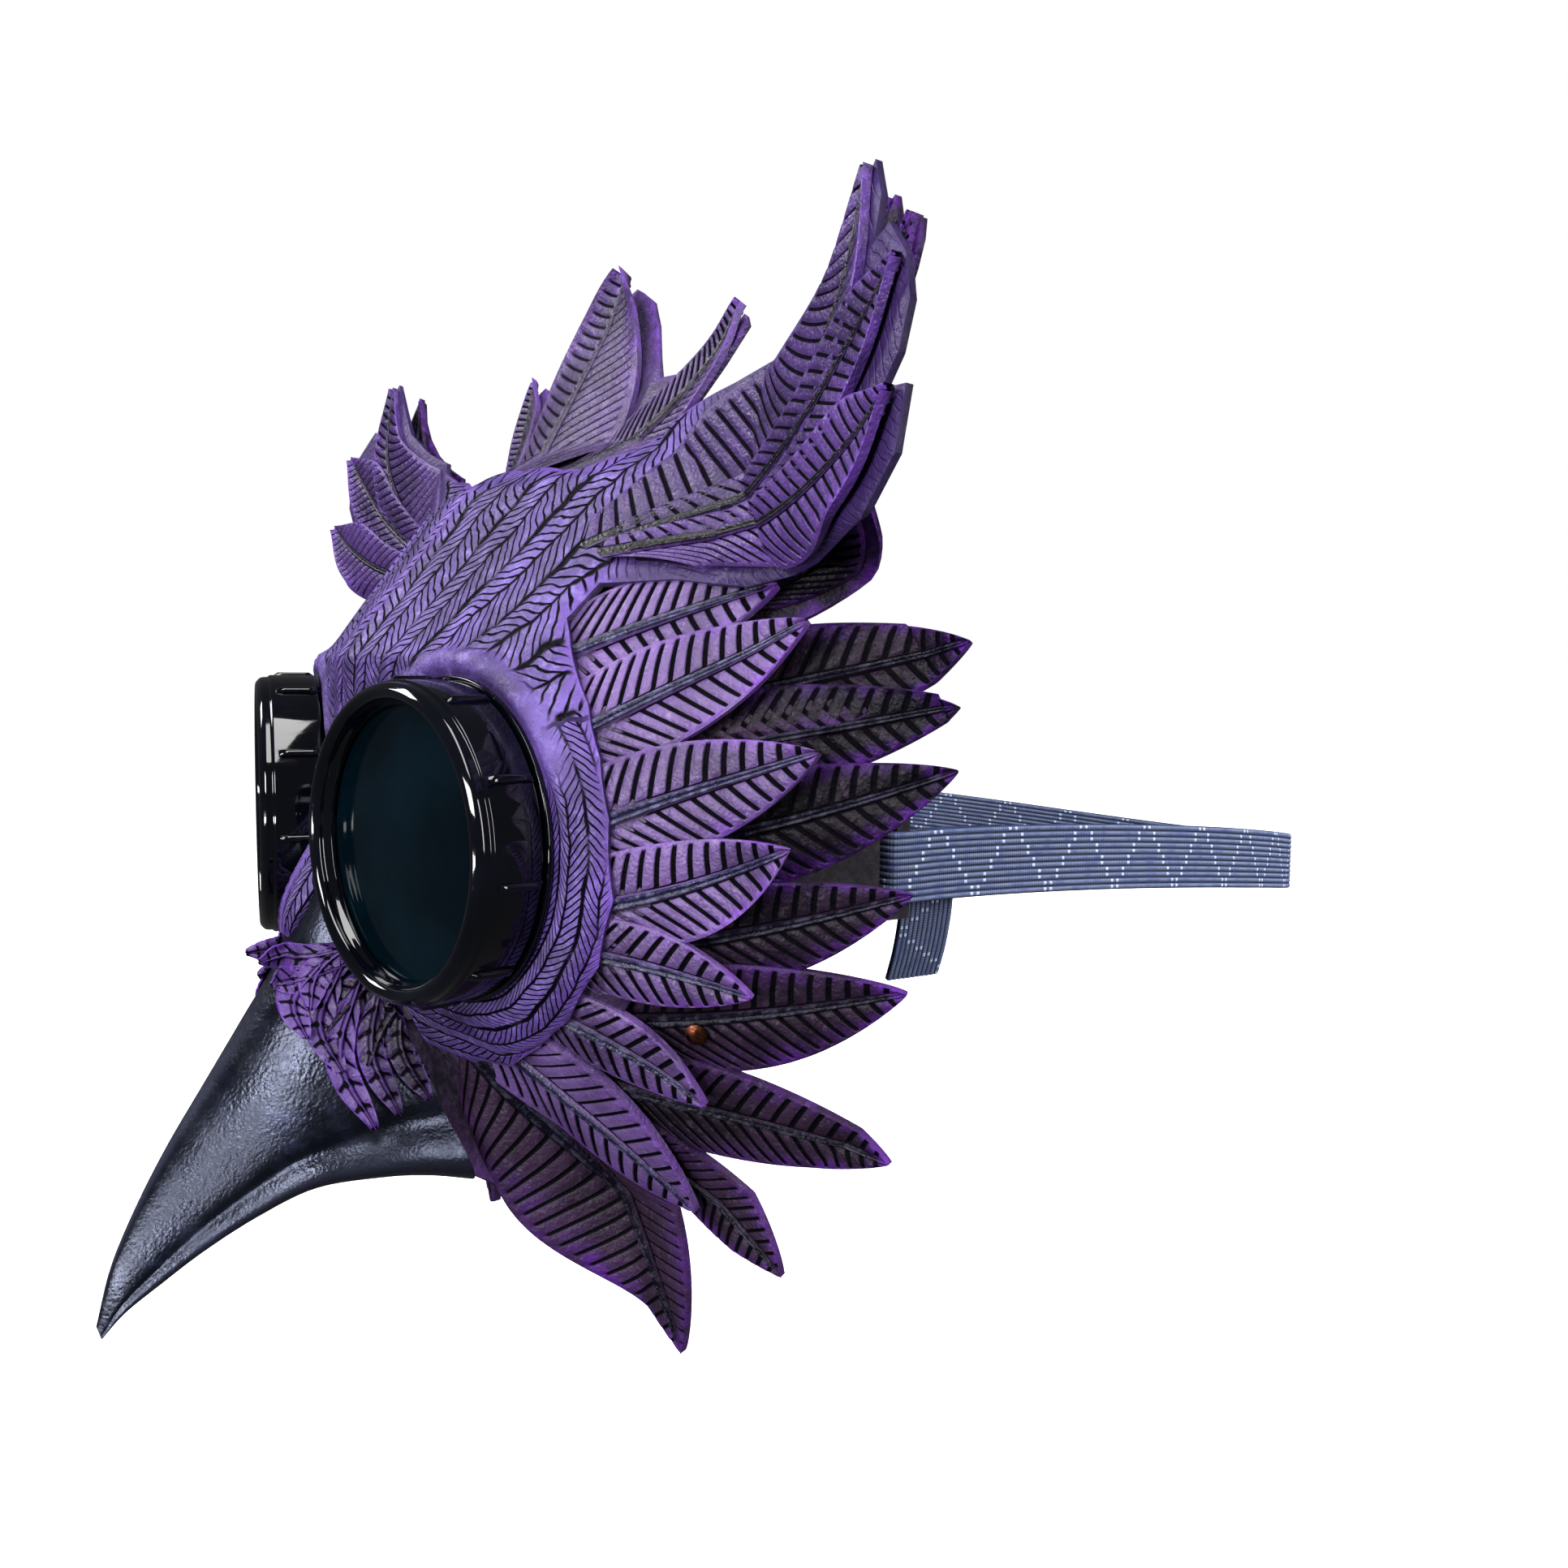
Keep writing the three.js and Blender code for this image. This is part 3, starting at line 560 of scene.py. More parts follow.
def feather(form, side, shape, depth, barb=2.6, quill=1.5, lift=0.8, rise=0.0, tip=0.0, curl=(0.0, 0.0),
            tone=0.5, thick=1.5, seat=0.0, slant=(0.2, 0.2), line=1.0, fade=0.25):
    """A tooled feather: a raised double shaft, cut barbs, a thinned light edge, and an upper edge that laps.

    rise lifts the outer part, tip curls the end and curl the upper and lower edges, all in mm.
    """
    at, length = shape
    count = max(6, int(length / barb))
    edge_of_cut = 0.26 / barb
    phase = np.array((0.0, edge_of_cut, 2.2 * edge_of_cut, 0.5, 1 - 2 * edge_of_cut, 1 - edge_of_cut))
    a = np.append(np.add.outer(np.arange(count), phase).reshape(-1) / count, 0.9985)
    beat = np.append(np.tile((0.0, 0.1, 1.05, 1.3, 1.5, 0.1), count), 1.0)
    cut = np.append(np.tile((1.0, 1.0, 0.0, 0.0, 0.0, 1.0), count), 0.0)
    reach = np.array([0.02 * k for k in range(len(SHAFT))] + list(0.1 + 0.9 * np.array(VANE)))
    column = np.arange(1 - len(reach), len(reach))
    number, sign = np.abs(column), np.where(column > 0, 1.0, -1.0)
    lean = np.where(sign > 0, *slant)
    lean = lean * np.where(lean > 0, 1 - a[:, None], 4 * a[:, None] * (1 - a[:, None]))
    aa = np.clip(a[:, None] + reach[number] * lean, 0, 0.9985)
    middle, across, above, below = at(aa)
    half = np.where(sign > 0, above, below)
    shaft = np.minimum(quill * (1 - 0.72 * aa), half * 0.45)
    n = len(SHAFT)
    shaft_at, heights, tint = np.array(SHAFT + ((0.0,) * 3,) * len(VANE))[number].T
    vane = np.array((0.0,) * n + VANE)[number]
    is_shaft = number < n
    bank = SHAFT[-1][0] * shaft
    off = np.where(is_shaft, shaft_at * shaft, bank + vane * (half - bank))
    xz = middle + across * (sign * off)[..., None]
    wear = (1 - ease(vane, 0.84, 0.97)) * ease(vane, -0.3, 0.1)
    relief = line * 0.34 * (beat[:, None] - 1.2) * wear * np.clip(half / 3, 0.2, 1)
    h = np.where(is_shaft, heights * np.clip(shaft / 1.1, 0.25, 1.1) * line, relief)
    h = h + 0.35 * np.sin(pi * vane) * ~is_shaft - 0.35 * ease(vane, 0.93, 1.0)
    loose = ease(aa, 0.0, fade)
    up, down = np.clip(sign * off / half, 0, 1), np.clip(-sign * off / half, 0, 1)
    h = h * (0.35 + 0.65 * loose) + loose * (lift * up ** 1.5 + rise * aa ** 2)
    curled = (curl[0] * up ** 4 + curl[1] * down ** 4) * ease(aa, 0.25, 0.8)
    h = h + tip * ease(aa, 0.62, 1.0) ** 2 + curled + seat
    x, z = xz[..., 0], xz[..., 1]
    front = raised(depth, x, z, h)
    rows, columns = x.shape
    spread = np.arange(5) * (columns - 1) // 4
    base = h[:, spread] - thick
    back = raised(depth, x[:, spread], z[:, spread], base)
    groove = cut[:, None] * wear * (~is_shaft) * line
    groove = np.maximum(groove, (number == n - 1) * 0.95 * line)
    edge = ease(vane, 0.4, 1.0) * (0.2 + 0.8 * ease(aa, 0.25, 0.95)) * np.where(sign < 0, 1.0, 0.55)
    edge = np.maximum(edge, ease(aa, 0.88, 0.985)) * (~is_shaft | (aa > 0.93))
    body = grid(rows, columns) + [f[::-1] for f in grid(rows, 5, rows * columns)]
    wall = []
    for i in range(rows - 1):
        for j, k in ((0, 0), (columns - 1, 4)):
            p, q = i * columns + j, (i + 1) * columns + j
            r, s = rows * columns + i * 5 + k, rows * columns + (i + 1) * 5 + k
            wall.append((p, r, s, q) if j == 0 else (q, s, r, p))
    rim = np.zeros((rows, 5))
    rim[:, [0, 4]] = 0.4
    put = lambda f, b: np.concatenate([f.reshape(-1), np.broadcast_to(b, (rows, 5)).reshape(-1)])
    form.add(np.concatenate([front.reshape(-1, 3), back.reshape(-1, 3)]), body + wall, side,
             groove=put(groove, 0.0), edge=put(edge, rim), tone=tone,
             quill=put(tint * ease(-aa, -0.99, -0.93) * line, 0.0),
             back=put(np.zeros(aa.shape), 1 - rim / 0.4))


def curved_feathers(form, side, table, depth, **common):
    for points, upper, lower, how in table:
        feather(form, side, spine_shape(points, upper, lower), depth, **common, **how)


def worn_rim(tone):
    return lambda x, z, gap: {"tone": tone + 0 * x, "edge": 1 - ease(gap, 0.4, 2.0)}


def inside(points, loop):
    x, z = points[:, 0, None], points[:, 1, None]
    x0, z0 = loop[:, 0], loop[:, 1]
    x1, z1 = np.roll(x0, -1), np.roll(z0, -1)
    crosses = (z0 > z) != (z1 > z)
    with np.errstate(divide="ignore", invalid="ignore"):
        at = x0 + (z - z0) * (x1 - x0) / (z1 - z0)
    return (crosses & (x < at)).sum(1) % 2 == 1


def edge_distance(points, loop):
    a, b = loop, np.roll(loop, -1, 0)
    ab = b - a
    ap = points[:, None] - a
    t = np.clip((ap * ab).sum(-1) / np.maximum((ab ** 2).sum(-1), 1e-9), 0, 1)
    return np.linalg.norm(ap - t[..., None] * ab, axis=-1).min(1)


def even_loop(points, spacing):
    """A closed outline with points every spacing."""
    p = np.asarray(points, float)
    out = []
    for a, b in zip(p, np.roll(p, -1, 0)):
        steps = max(1, int(round(np.linalg.norm(b - a) / spacing)))
        out += [a + (b - a) * k / steps for k in range(steps)]
    return np.array(out)


def rounded(points):
    """A closed outline with its corners cut off."""
    p = np.asarray(points, float)
    q = np.roll(p, -1, 0)
    return np.stack([0.75 * p + 0.25 * q, 0.25 * p + 0.75 * q], 1).reshape(-1, 2)


def sheet(form, side, outline, depth, spacing, relief=None, fields=None, hole=0.0, edge_roll=0.6):
    """A moulded sheet of leather cut to an outline, with rolled edges, and a goggle hole if hole says."""
    loops = [even_loop(outline, spacing)]
    if hole:
        turn = circle(int(2 * pi * hole / spacing))
        shift = tan(YAW) * (float(depth(np.array(EYE[0]), np.array(0.0))) - EYE[1])
        loops.append(np.stack([EYE[0] - shift + hole * np.cos(turn), hole * np.sin(turn)], 1))
    low, high = loops[0].min(0), loops[0].max(0)
    zs = np.arange(low[1], high[1], spacing * 0.866)
    xs = np.arange(low[0], high[0] + spacing, spacing)
    points = np.array([(x + spacing / 2 * (k % 2), z) for k, z in enumerate(zs) for x in xs])
    gap = np.min([edge_distance(points, loop) for loop in loops], 0)
    keep = inside(points, loops[0]) & (gap > spacing * 0.55)
    if hole:
        keep &= ~inside(points, loops[1])
    cloud = np.concatenate(loops + [points[keep]])
    rings, start = [], 0
    for loop in loops:
        rings += [(start + k, start + (k + 1) % len(loop)) for k in range(len(loop))]
        start += len(loop)
    verts, _, tris, *_ = delaunay_2d_cdt([Vector(p) for p in cloud], rings, [], 0, 1e-5)
    flat, tris = np.array(verts), np.array(tris)
    middle = flat[tris].mean(1)
    good = inside(middle, loops[0])
    if hole:
        good &= ~inside(middle, loops[1])
    tris = tris[good]
    x, z = flat[:, 0], flat[:, 1]
    gap = np.min([edge_distance(flat, loop) for loop in loops], 0)
    h = -edge_roll * (1 - ease(gap, -0.2, 1.6)) + (relief(x, z, gap) if relief else 0)
    front = raised(depth, x, z, h)
    back = raised(depth, x, z, np.full_like(x, -LEATHER))
    n = len(x)
    pairs = np.sort(np.concatenate([tris[:, [0, 1]], tris[:, [1, 2]], tris[:, [2, 0]]]), 1)
    pairs, times = np.unique(pairs, axis=0, return_counts=True)
    seam = pairs[times == 1]
    if np.abs(loops[0][:, 0]).min() < 1e-6:
        seam = seam[~((np.abs(x[seam[:, 0]]) < 1e-6) & (np.abs(x[seam[:, 1]]) < 1e-6))]
    faces = [tuple(t) for t in tris.tolist()] + [tuple(n + k for k in t[::-1]) for t in tris.tolist()]
    faces += [(a, b, n + b, n + a) for a, b in seam.tolist()]
    extra = fields(x, z, gap) if fields else {}
    both = {k: np.concatenate([np.broadcast_to(v, n), np.zeros(n)]) for k, v in extra.items()}
    both["back"] = np.concatenate([np.zeros(n), ease(gap, 0.0, 1.0)])
    form.add(np.concatenate([front, back]), faces, side, **both)


# ---- brow and ear wings ----

BROW_EDGE = [
    (0, 80), (20, 79), (38, 76.5), (52, 82), (79, 90), (98, 97), (110, 104), (116, 112), (122, 120.5),
    (127, 113), (127, 105), (132, 107), (140, 100), (143.5, 92), (142, 84), (138, 79), (146, 78.5),
    (145, 68), (136, 58.5), (115, 52.5), (98, 49.5), (83, 51.5), (69, 51), (67, 44), (73, 36), (79, 28),
    (84, 18), (87, 7), (87.5, -8), (83, -21), (73.5, -33), (63, -40.5), (50, -47), (38, -48.5),
    (28, -45.5), (25, -38), (19, -31), (13, -24), (8, -19), (5, -26), (0, -24),
]


def round_eye(x, z):
    return np.hypot(x - EYE[0], z), np.arctan2(z, x - EYE[0])


def brow_rows(x, z):
    """Rows of small tooled feathers: they fan out from the bridge over the brow and ring the goggle below."""
    ring, turn = round_eye(x, z)
    fan = np.degrees(np.arctan2(np.abs(x), z + 34))
    over = fan < 62 - 0.25 * np.maximum(0, 60 - z)
    row = np.where(over, 0.5 + fan / 9.5, 20.0 + (ring - 33) / 5.2)
    run = np.where(over, np.hypot(x, z + 34), -turn * 40)
    return row, run


def brow_relief(x, z, gap):
    ring, turn = round_eye(x, z)
    lip = 1.6 * np.exp(-((ring - 35.4) / 2.4) ** 2) * ease(np.sin(turn), 0.15, 0.6)
    row, _ = brow_rows(x, z)
    swell = 0.6 * (1 - (2 * np.abs(row % 1 - 0.5)) ** 4)
    swell = swell * ease(ring, 33, 35) * (1 - ease(x, 62, 75) * (z > 45))
    band = 0.6 * np.exp(-((gap - 3.0) / 2.2) ** 2) * (z < 52)
    return lip + swell + band


def brow_fields(x, z, gap):
    ring, turn = round_eye(x, z)
    row, run = brow_rows(x, z)
    lip = (1 - ease(ring, 36.5, 39.5)) * ease(np.sin(turn), 0.15, 0.5)
    smooth = np.maximum(lip, 1 - ease(gap, 0.3, 1.3))
    wing = ease(x, 66, 76) * (z > 48)
    edge = (1 - ease(gap, 0.5, 3.0)) * (1 - 0.8 * wing)
    return {"row": row, "run": run, "quill": np.maximum(smooth, 0.75 * wing), "edge": edge, "tone": wing}


# middle line of each wing feather with its half widths above and below
WING = [
    ([(60, 58), (82, 68), (103, 79), (119, 97), (122.5, 119)], (7, 18.5, 17, 9.5, 1.0), (5, 7, 9, 7, 0.8),
     dict(tone=0.35, seat=0.6, curl=(0.6, 1.2), rise=0.4)),
    ([(68, 59), (90, 66.5), (112, 77), (129, 89), (141, 99)], (4, 6, 8, 9, 0.8), (4, 7, 9, 8, 0.8),
     dict(tone=0.4, seat=1.1, curl=(0.2, 1.5), rise=0.5)),
    ([(66, 56), (88, 59), (112, 63), (132, 70), (145, 77.5)], (3, 5, 8, 9, 0.8), (3, 6, 9.5, 8, 0.8),
     dict(tone=0.7, seat=1.4, curl=(0.2, 1.6), rise=0.6)),
]


def brow_mask(look, wing_look):
    form = Form()
    for _, side in SIDES:
        sheet(form, side, BROW_EDGE, brow_depth, 1.15, brow_relief, brow_fields, hole=HOLE_R)
    form.make("brow_sheet", look, ["brow_mask"], "brow_leather", merge=0.01)
    wings = Form()
    for _, side in SIDES:
        curved_feathers(wings, side, WING, brow_depth, barb=3.3, slant=(-0.1, 0.22), thick=1.6,
                        quill=1.0, lift=0.3, fade=0.15)
    wings.make("ear_wings", wing_look, ["brow_mask"], "brow_leather")


# ---- cheek, rear and crest feathers ----

# [root, tip, width, bend] as in the CAD, then how the piece of leather is worked
CHEEK = [
    ((62, 33), (99, 50), 22, 1, dict(tone=0.55, rise=0.6)),
    ((70, 16), (107, 42), 21, 1, dict(tone=0.6, rise=1.2, tip=2.5, curl=(0, 1.0))),
    ((74, 0), (113, 19.5), 21, 1, dict(tone=0.5, rise=1.4, tip=2.0)),
    ((74, -12), (111, 3), 19, -2, dict(tone=0.65, rise=1.2, tip=5.0, curl=(0, 2.5))),
    ((72, -18), (103, -25), 17, 1, dict(tone=0.45, rise=1.2)),
    ((64, -30), (89.5, -47.5), 18, 1, dict(tone=0.45, rise=1.2, tip=1.0)),
    ((42, -38), (72, -76), 33, 2, dict(tone=0.6, rise=1.5, barb=3.2, quill=1.9)),
]
REAR = [
    ((72, 20), (125, 39.5), 24, 1, dict(tone=0.35, tip=3.0, rise=0.5)),
    ((74, 12), (124, 28), 21, 1, dict(tone=0.1, tip=3.5, curl=(1, 0))),
    ((76, -2), (124, 16.5), 22, -2, dict(tone=0.1, tip=2.0)),
    ((72, -20), (119.5, -6), 20, -2, dict(tone=0.35, rise=0.6)),
    ((66, -34), (117.5, -24.5), 23, -2, dict(tone=0.5, rise=0.6)),
    ((56, -46), (110.5, -59), 24, 1, dict(tone=0.45, rise=0.6)),
    ((50, -50), (86, -88), 23, 1, dict(tone=0.55, rise=0.6)),
    ((32, -44), (54, -115.5), 35, 2, dict(tone=0.7, rise=1.0, barb=3.2, quill=2.2)),
]
WING_BACKING = [
    (54, 30), (56, 74), (80, 86), (101, 95), (114, 106), (119, 118), (123, 111), (126, 104), (131, 111),
    (132, 104), (127, 92), (127, 80), (122, 66), (112, 54), (102, 46), (90, 36), (76, 26),
]
WING_REAR = [
    ([(84, 62), (102, 80), (114, 98), (118.5, 116)], (3, 7, 5, 0.8), (3, 6, 4, 0.8), dict(tone=0.3)),
    ([(90, 60), (108, 76), (122, 92), (130.5, 110)], (3, 6, 5, 0.8), (3, 6, 6, 0.8),
     dict(tone=0.35, seat=0.6)),
    ([(84, 44), (99, 54), (112, 67), (124, 82)], (3, 6, 6, 0.8), (3, 6, 6, 0.8), dict(tone=0.3, seat=0.8)),
]


def ring_root(inner, outer):
    """The part round the goggle that the cheek feathers grow out of."""
    turn = np.linspace(radians(-62), radians(60), 26)
    arc = [(EYE[0] + outer * cos(t), outer * sin(t)) for t in turn]
    return arc + [(EYE[0] + inner * cos(t), inner * sin(t)) for t in turn[::-1]]


def feather_row(name, side, table, depth, look, slot, extra=None):
    form = Form()
    sheet(form, side, ring_root(30, 47), depth, 2.5, edge_roll=0.2)
    for root, tip, width, bend, how in table:
        feather(form, side, leaf_shape(root, tip, width, bend), depth, **{"quill": 1.5, **how})
    if extra:
        extra(form, side)
    form.make(f"{name}_feathers", look, [name], slot)


def rear_wing(form, side):
    sheet(form, side, rounded(WING_BACKING), rear_depth, 2.2, fields=worn_rim(0.1))
    curved_feathers(form, side, WING_REAR, rear_depth, thick=1.4)


CREST_EDGE = [
    (0, 127), (5, 125), (11, 122), (18, 115), (25, 106), (30, 100), (36, 100), (44, 105), (52, 111),
    (56, 108), (53, 100), (48, 91), (47, 80), (40, 72), (20, 74), (0, 74),
]
CREST = [
    ([(22, 72), (32, 82), (42, 92), (50, 102), (54.5, 111.5)], (5, 8, 7, 5, 0.8), (5, 8, 7, 5, 0.8),
     dict(tone=0.5, tip=1.5, curl=(1.2, 1), seat=0.3)),
]
CREST_MIDDLE = [(0, 70), (0, 85), (0, 100), (0, 115), (0, 128)]


def crest(look):
    form = Form()
    for _, side in SIDES:
        sheet(form, side, CREST_EDGE, crest_depth, 2.0, fields=worn_rim(0.5))
        curved_feathers(form, side, CREST, crest_depth, barb=2.2, thick=1.4)
    feather(form, 1, spine_shape(CREST_MIDDLE, (19, 27, 25, 15, 1.2), (19, 27, 25, 15, 1.2)), crest_depth,
            barb=2.7, tone=0.5, tip=2.0, curl=(4.0, 4.0), seat=1.2, lift=0.0, line=0.7)
    form.make("crest_feathers", look, ["crest"], "cheek_leather", merge=0.01)


# ---- beak and the small feathers over its root ----

# ridge (y, z), lower rim (y, z) and half width, from the face to the tip
BEAK_STATIONS = [
    (-1, -10, 27, -79, 30), (-5.5, -21, 17, -76.5, 29), (-8.5, -31, 7, -75.5, 27),
    (-16, -43.5, -6, -76.5, 22.5), (-24, -56, -17, -82, 17), (-32, -68.5, -27, -89, 11.5),
    (-38.5, -80.5, -35, -95.5, 7.5), (-43.5, -92, -41.5, -101, 4.4), (-46.6, -104, -45.8, -106.5, 1.6),
]
# down the side of a section: part of the height, part of the half width
BEAK_SIDE = [
    (0, 0.0), (0.012, 0.12), (0.05, 0.27), (0.14, 0.42), (0.28, 0.58), (0.44, 0.72), (0.6, 0.83), (0.7, 0.87),
    (0.77, 0.86), (0.84, 0.95), (0.91, 1), (0.97, 0.93), (1, 0.75), (1.0, 0.4), (1.0, 0.0),
]


def beak_skin(inset, rows=90, columns=44):
    """Half of the beak's surface: rows from the face to the tip, columns from the ridge down the side."""
    t, s = np.linspace(0, 1, rows), np.linspace(0, 1, columns)
    ridge_y, ridge_z, rim_y, rim_z, half = (c[:, None] for c in curve_through(BEAK_STATIONS)(t).T)
    profile = curve_through(BEAK_SIDE)(s)
    part, wide = np.clip(profile[:, 0], 0, 1), profile[:, 1]
    height = np.hypot(rim_y - ridge_y, rim_z - ridge_z)
    down = inset + part * (height - 2 * inset)
    y = ridge_y + (rim_y - ridge_y) / height * down
    z = ridge_z + (rim_z - ridge_z) / height * down
    x = np.maximum(wide * (half - inset), 0) + 0 * y
    return np.stack([x, y, z], -1), part


def beak(look):
    form = Form()
    for _, side in SIDES:
        outer, part = beak_skin(0.0)
        rows, columns = outer.shape[:2]
        t = np.linspace(0, 1, rows)[:, None]
        # The tone field carries a painted highlight: a band down the middle of each side, fading in from the
        # face and weaker towards the tip.
        painted_highlight = np.exp(-((part - 0.52) / 0.2) ** 2) * ease(t, 0.05, 0.3) * (1 - 0.5 * ease(t, 0.6, 1.0))
        # The edge field marks the ridge and the lower roll for painted highlight lines.
        line = np.exp(-(part / 0.025) ** 2) * ease(t, 0.2, 0.5) + 0.6 * np.exp(-((part - 0.9) / 0.05) ** 2)
        form.add(outer, grid(rows, columns), side, tone=0.25 + 0.75 * painted_highlight, edge=line + 0 * t)
        inner, _ = beak_skin(2.2)
        inner = inner[: rows - 8]
        form.add(inner, [f[::-1] for f in grid(rows - 8, columns)], side, back=1.0)
        lip = np.stack([outer[0], inner[0]])
        form.add(lip, grid(2, columns), side, back=0.5)
    return form.make("beak_shell", look, ["beak"], "beak_leather", sharp=70, merge=0.02)


# root, middle and tip (y, z) as seen from the side, width, curl of the tip, tone
FRINGE = [
    ((10, -29), (2, -37), (-3, -43), 8, 0.3, 0.1), ((16, -32), (8, -42), (4, -50), 9, 0.3, 0.1),
    ((18, -35), (16, -46), (19, -55), 6, 0.4, 0.1), ((12, -35), (11, -47), (16, -58), 5.5, 0.8, 0.2),
    ((8, -33), (5, -47), (9.5, -60.5), 5.5, 1.0, 0.4), ((4, -32), (-1, -48), (4, -62.5), 5.5, 2.5, 1.0),
    ((1, -29), (-4, -41), (-1, -51), 5.5, 1.2, 0.6), ((5, -25), (-6, -28), (-13.5, -29), 5, 2.0, 0.7),
    ((4, -28), (-5, -32), (-11, -34.5), 5, 1.8, 0.6), ((-3, -29), (-8, -37), (-7, -44), 5, 1.6, 0.9),
    ((4, -24), (-3, -30), (-6, -38), 5, 2.2, 1.0),
]


def fringe(name, side, shell, look):
    """Each small feather follows the beak's side, the later ones over the earlier ones."""
    tree = BVHTree.FromPolygons([v.co / MM for v in shell.data.vertices],
                                [tuple(p.vertices) for p in shell.data.polygons])

    def side_of_beak(y, z):
        out = np.full(y.shape, 2.0)
        for k in np.ndindex(y.shape):
            hit = tree.ray_cast(Vector((60, y[k], z[k])), Vector((-1, 0, 0)))[0]
            out[k] = max(hit.x, 2.0) if hit else 2.0
        return out

    form = Form()
    rows, columns = 31, 11
    t, s = np.linspace(0, 1, rows), np.linspace(-1, 1, columns)
    wide = curve_through([0.6, 0.9, 1.0, 0.85, 0.25])(t)[:, 0]
    beat = np.where(np.arange(rows) % 5 == 0, 1.0, 0.0)[:, None]
    tt = np.clip(t[:, None] + 0.16 * np.abs(s) * (1 - t[:, None]), 0, 1)
    cut = beat * (np.abs(s) > 0.15) * (np.abs(s) < 0.9) + 0.7 * (np.abs(np.abs(s) - 0.2) < 0.05)
    edge = np.broadcast_to(ease(np.abs(s), 0.75, 1.0), cut.shape)
    n = rows * columns
    index = np.arange(n).reshape(rows, columns)
    ring = np.concatenate([index[:, 0], index[-1, 1:], index[-2::-1, -1], index[0, -2:0:-1]]).tolist()
    faces = grid(rows, columns) + [tuple(n + k for k in f[::-1]) for f in grid(rows, columns)]
    faces += [(a, b, n + b, n + a) for a, b in zip(ring, ring[1:] + ring[:1])]
    for order, (root, mid, tip, width, curl, tone) in enumerate(FRINGE):
        line = curve_through([root, mid, tip])
        across = left_of(unit(line(t + 0.02) - line(t - 0.02)))
        yz = line(tt) + across[:, None] * (s * (wide * width / 2)[:, None])[..., None]
        h = 1.3 + 0.5 * (1 - s ** 2) + 0.9 * np.exp(-(s / 0.16) ** 2)
        h = h - 0.45 * beat * (np.abs(s) > 0.2)
        h = h + curl * ease(t, 0.55, 1.0)[:, None] ** 2 + 0.09 * order + 0.8 * np.abs(s) ** 3 * curl / 2
        front = np.stack([side_of_beak(yz[..., 0], yz[..., 1]) + h, yz[..., 0], yz[..., 1]], -1)
        form.add(np.stack([front, front - np.array([1.3, 0, 0])]), faces, side, tone=tone,
                 groove=np.stack([cut, cut]), edge=np.stack([edge, edge]))
    form.make(f"{name}_curls", look, [name], "brow_leather")


# ---- goggles ----

def on_eye(points):
    """From a goggle's own axes (x, y across, t out of the mask) to the row frame."""
    p = np.asarray(points, float)
    x, up, t = p[..., 0], p[..., 1], p[..., 2]
    return np.stack([EYE[0] + x * cos(YAW) + t * sin(YAW), EYE[1] + x * sin(YAW) - t * cos(YAW), up], -1)


def turned(form, side, section, segments=144, closed=True):
    """A turned part from a section of (radius, distance along the axis)."""
    section = np.asarray(section, float)
    if closed:
        section = np.vstack([section, section[:1]])
    turn = circle(segments)
    points = np.stack([section[:, 0, None] * np.cos(turn), section[:, 0, None] * np.sin(turn),
                       np.broadcast_to(section[:, 1, None], (len(section), segments))], -1)
    form.add(on_eye(points), grid(len(section), segments, closed=True), side)


def softened(section, radius, steps=4):
    """The section with each corner turned to a small arc."""
    p = np.asarray(section, float)
    out = []
    for before, corner, after in zip(np.roll(p, 1, 0), p, np.roll(p, -1, 0)):
        to_b, to_a = before - corner, after - corner
        lb, la = np.linalg.norm(to_b), np.linalg.norm(to_a)
        r = min(radius, lb * 0.45, la * 0.45)
        b, a = corner + to_b / lb * r, corner + to_a / la * r
        out += [(1 - u) ** 2 * b + 2 * u * (1 - u) * corner + u * u * a for u in np.linspace(0, 1, steps + 1)]
    return np.array(out)


RIB_SECTION = ((-0.5, -0.6), (-0.5, 0.55), (-0.34, 0.92), (0, 1.0), (0.34, 0.92), (0.5, 0.55), (0.5, -0.6))


def rib(form, side, angle, width=1.7, height=0.95, span=(1.9, 11.6)):
    """A moulded grip rib that stands on the cap's side, with rounded ends."""
    steps = 10
    rows = []
    for k, t in enumerate(np.linspace(span[0], span[1], steps)):
        end = min(1.0, min(t - span[0], span[1] - t) / 0.9 + 0.12)
        for u, w in RIB_SECTION:
            rows.append((u * width, CAP_R + w * height * (end if w > 0 else 1), t))
    x, r, t = np.array(rows).T
    points = np.stack([x * np.cos(angle) + r * np.sin(angle), -x * np.sin(angle) + r * np.cos(angle), t], -1)
    form.add(on_eye(points), grid(steps, len(RIB_SECTION)), side)


def screw_cap(name, side, look):
    form, lip = Form(), CAP_LEN - 4.6
    turned(form, side, softened([
        (CAP_R, 1.7), (CAP_R, CAP_LEN - 3.4), (CAP_R - 0.45, CAP_LEN - 3.0), (CAP_R - 0.55, CAP_LEN - 1.2),
        (CAP_R - 2.0, CAP_LEN), (CAP_R - 3.2, CAP_LEN - 0.1), (28.0, CAP_LEN - 1.0), (27.8, CAP_LEN - 2.2),
        (27.1, lip + 1.0), (27, lip), (29.1, lip), (29.1, 1.7)], 0.7))
    for k in range(10):
        rib(form, side, -side * radians(8) + k * pi / 5)
    form.make(f"screw_cap_{name}_shell", look, [f"lens_cap_{name}"], "goggle_plastic",
              body=f"screw_cap_{name}", sharp=60)


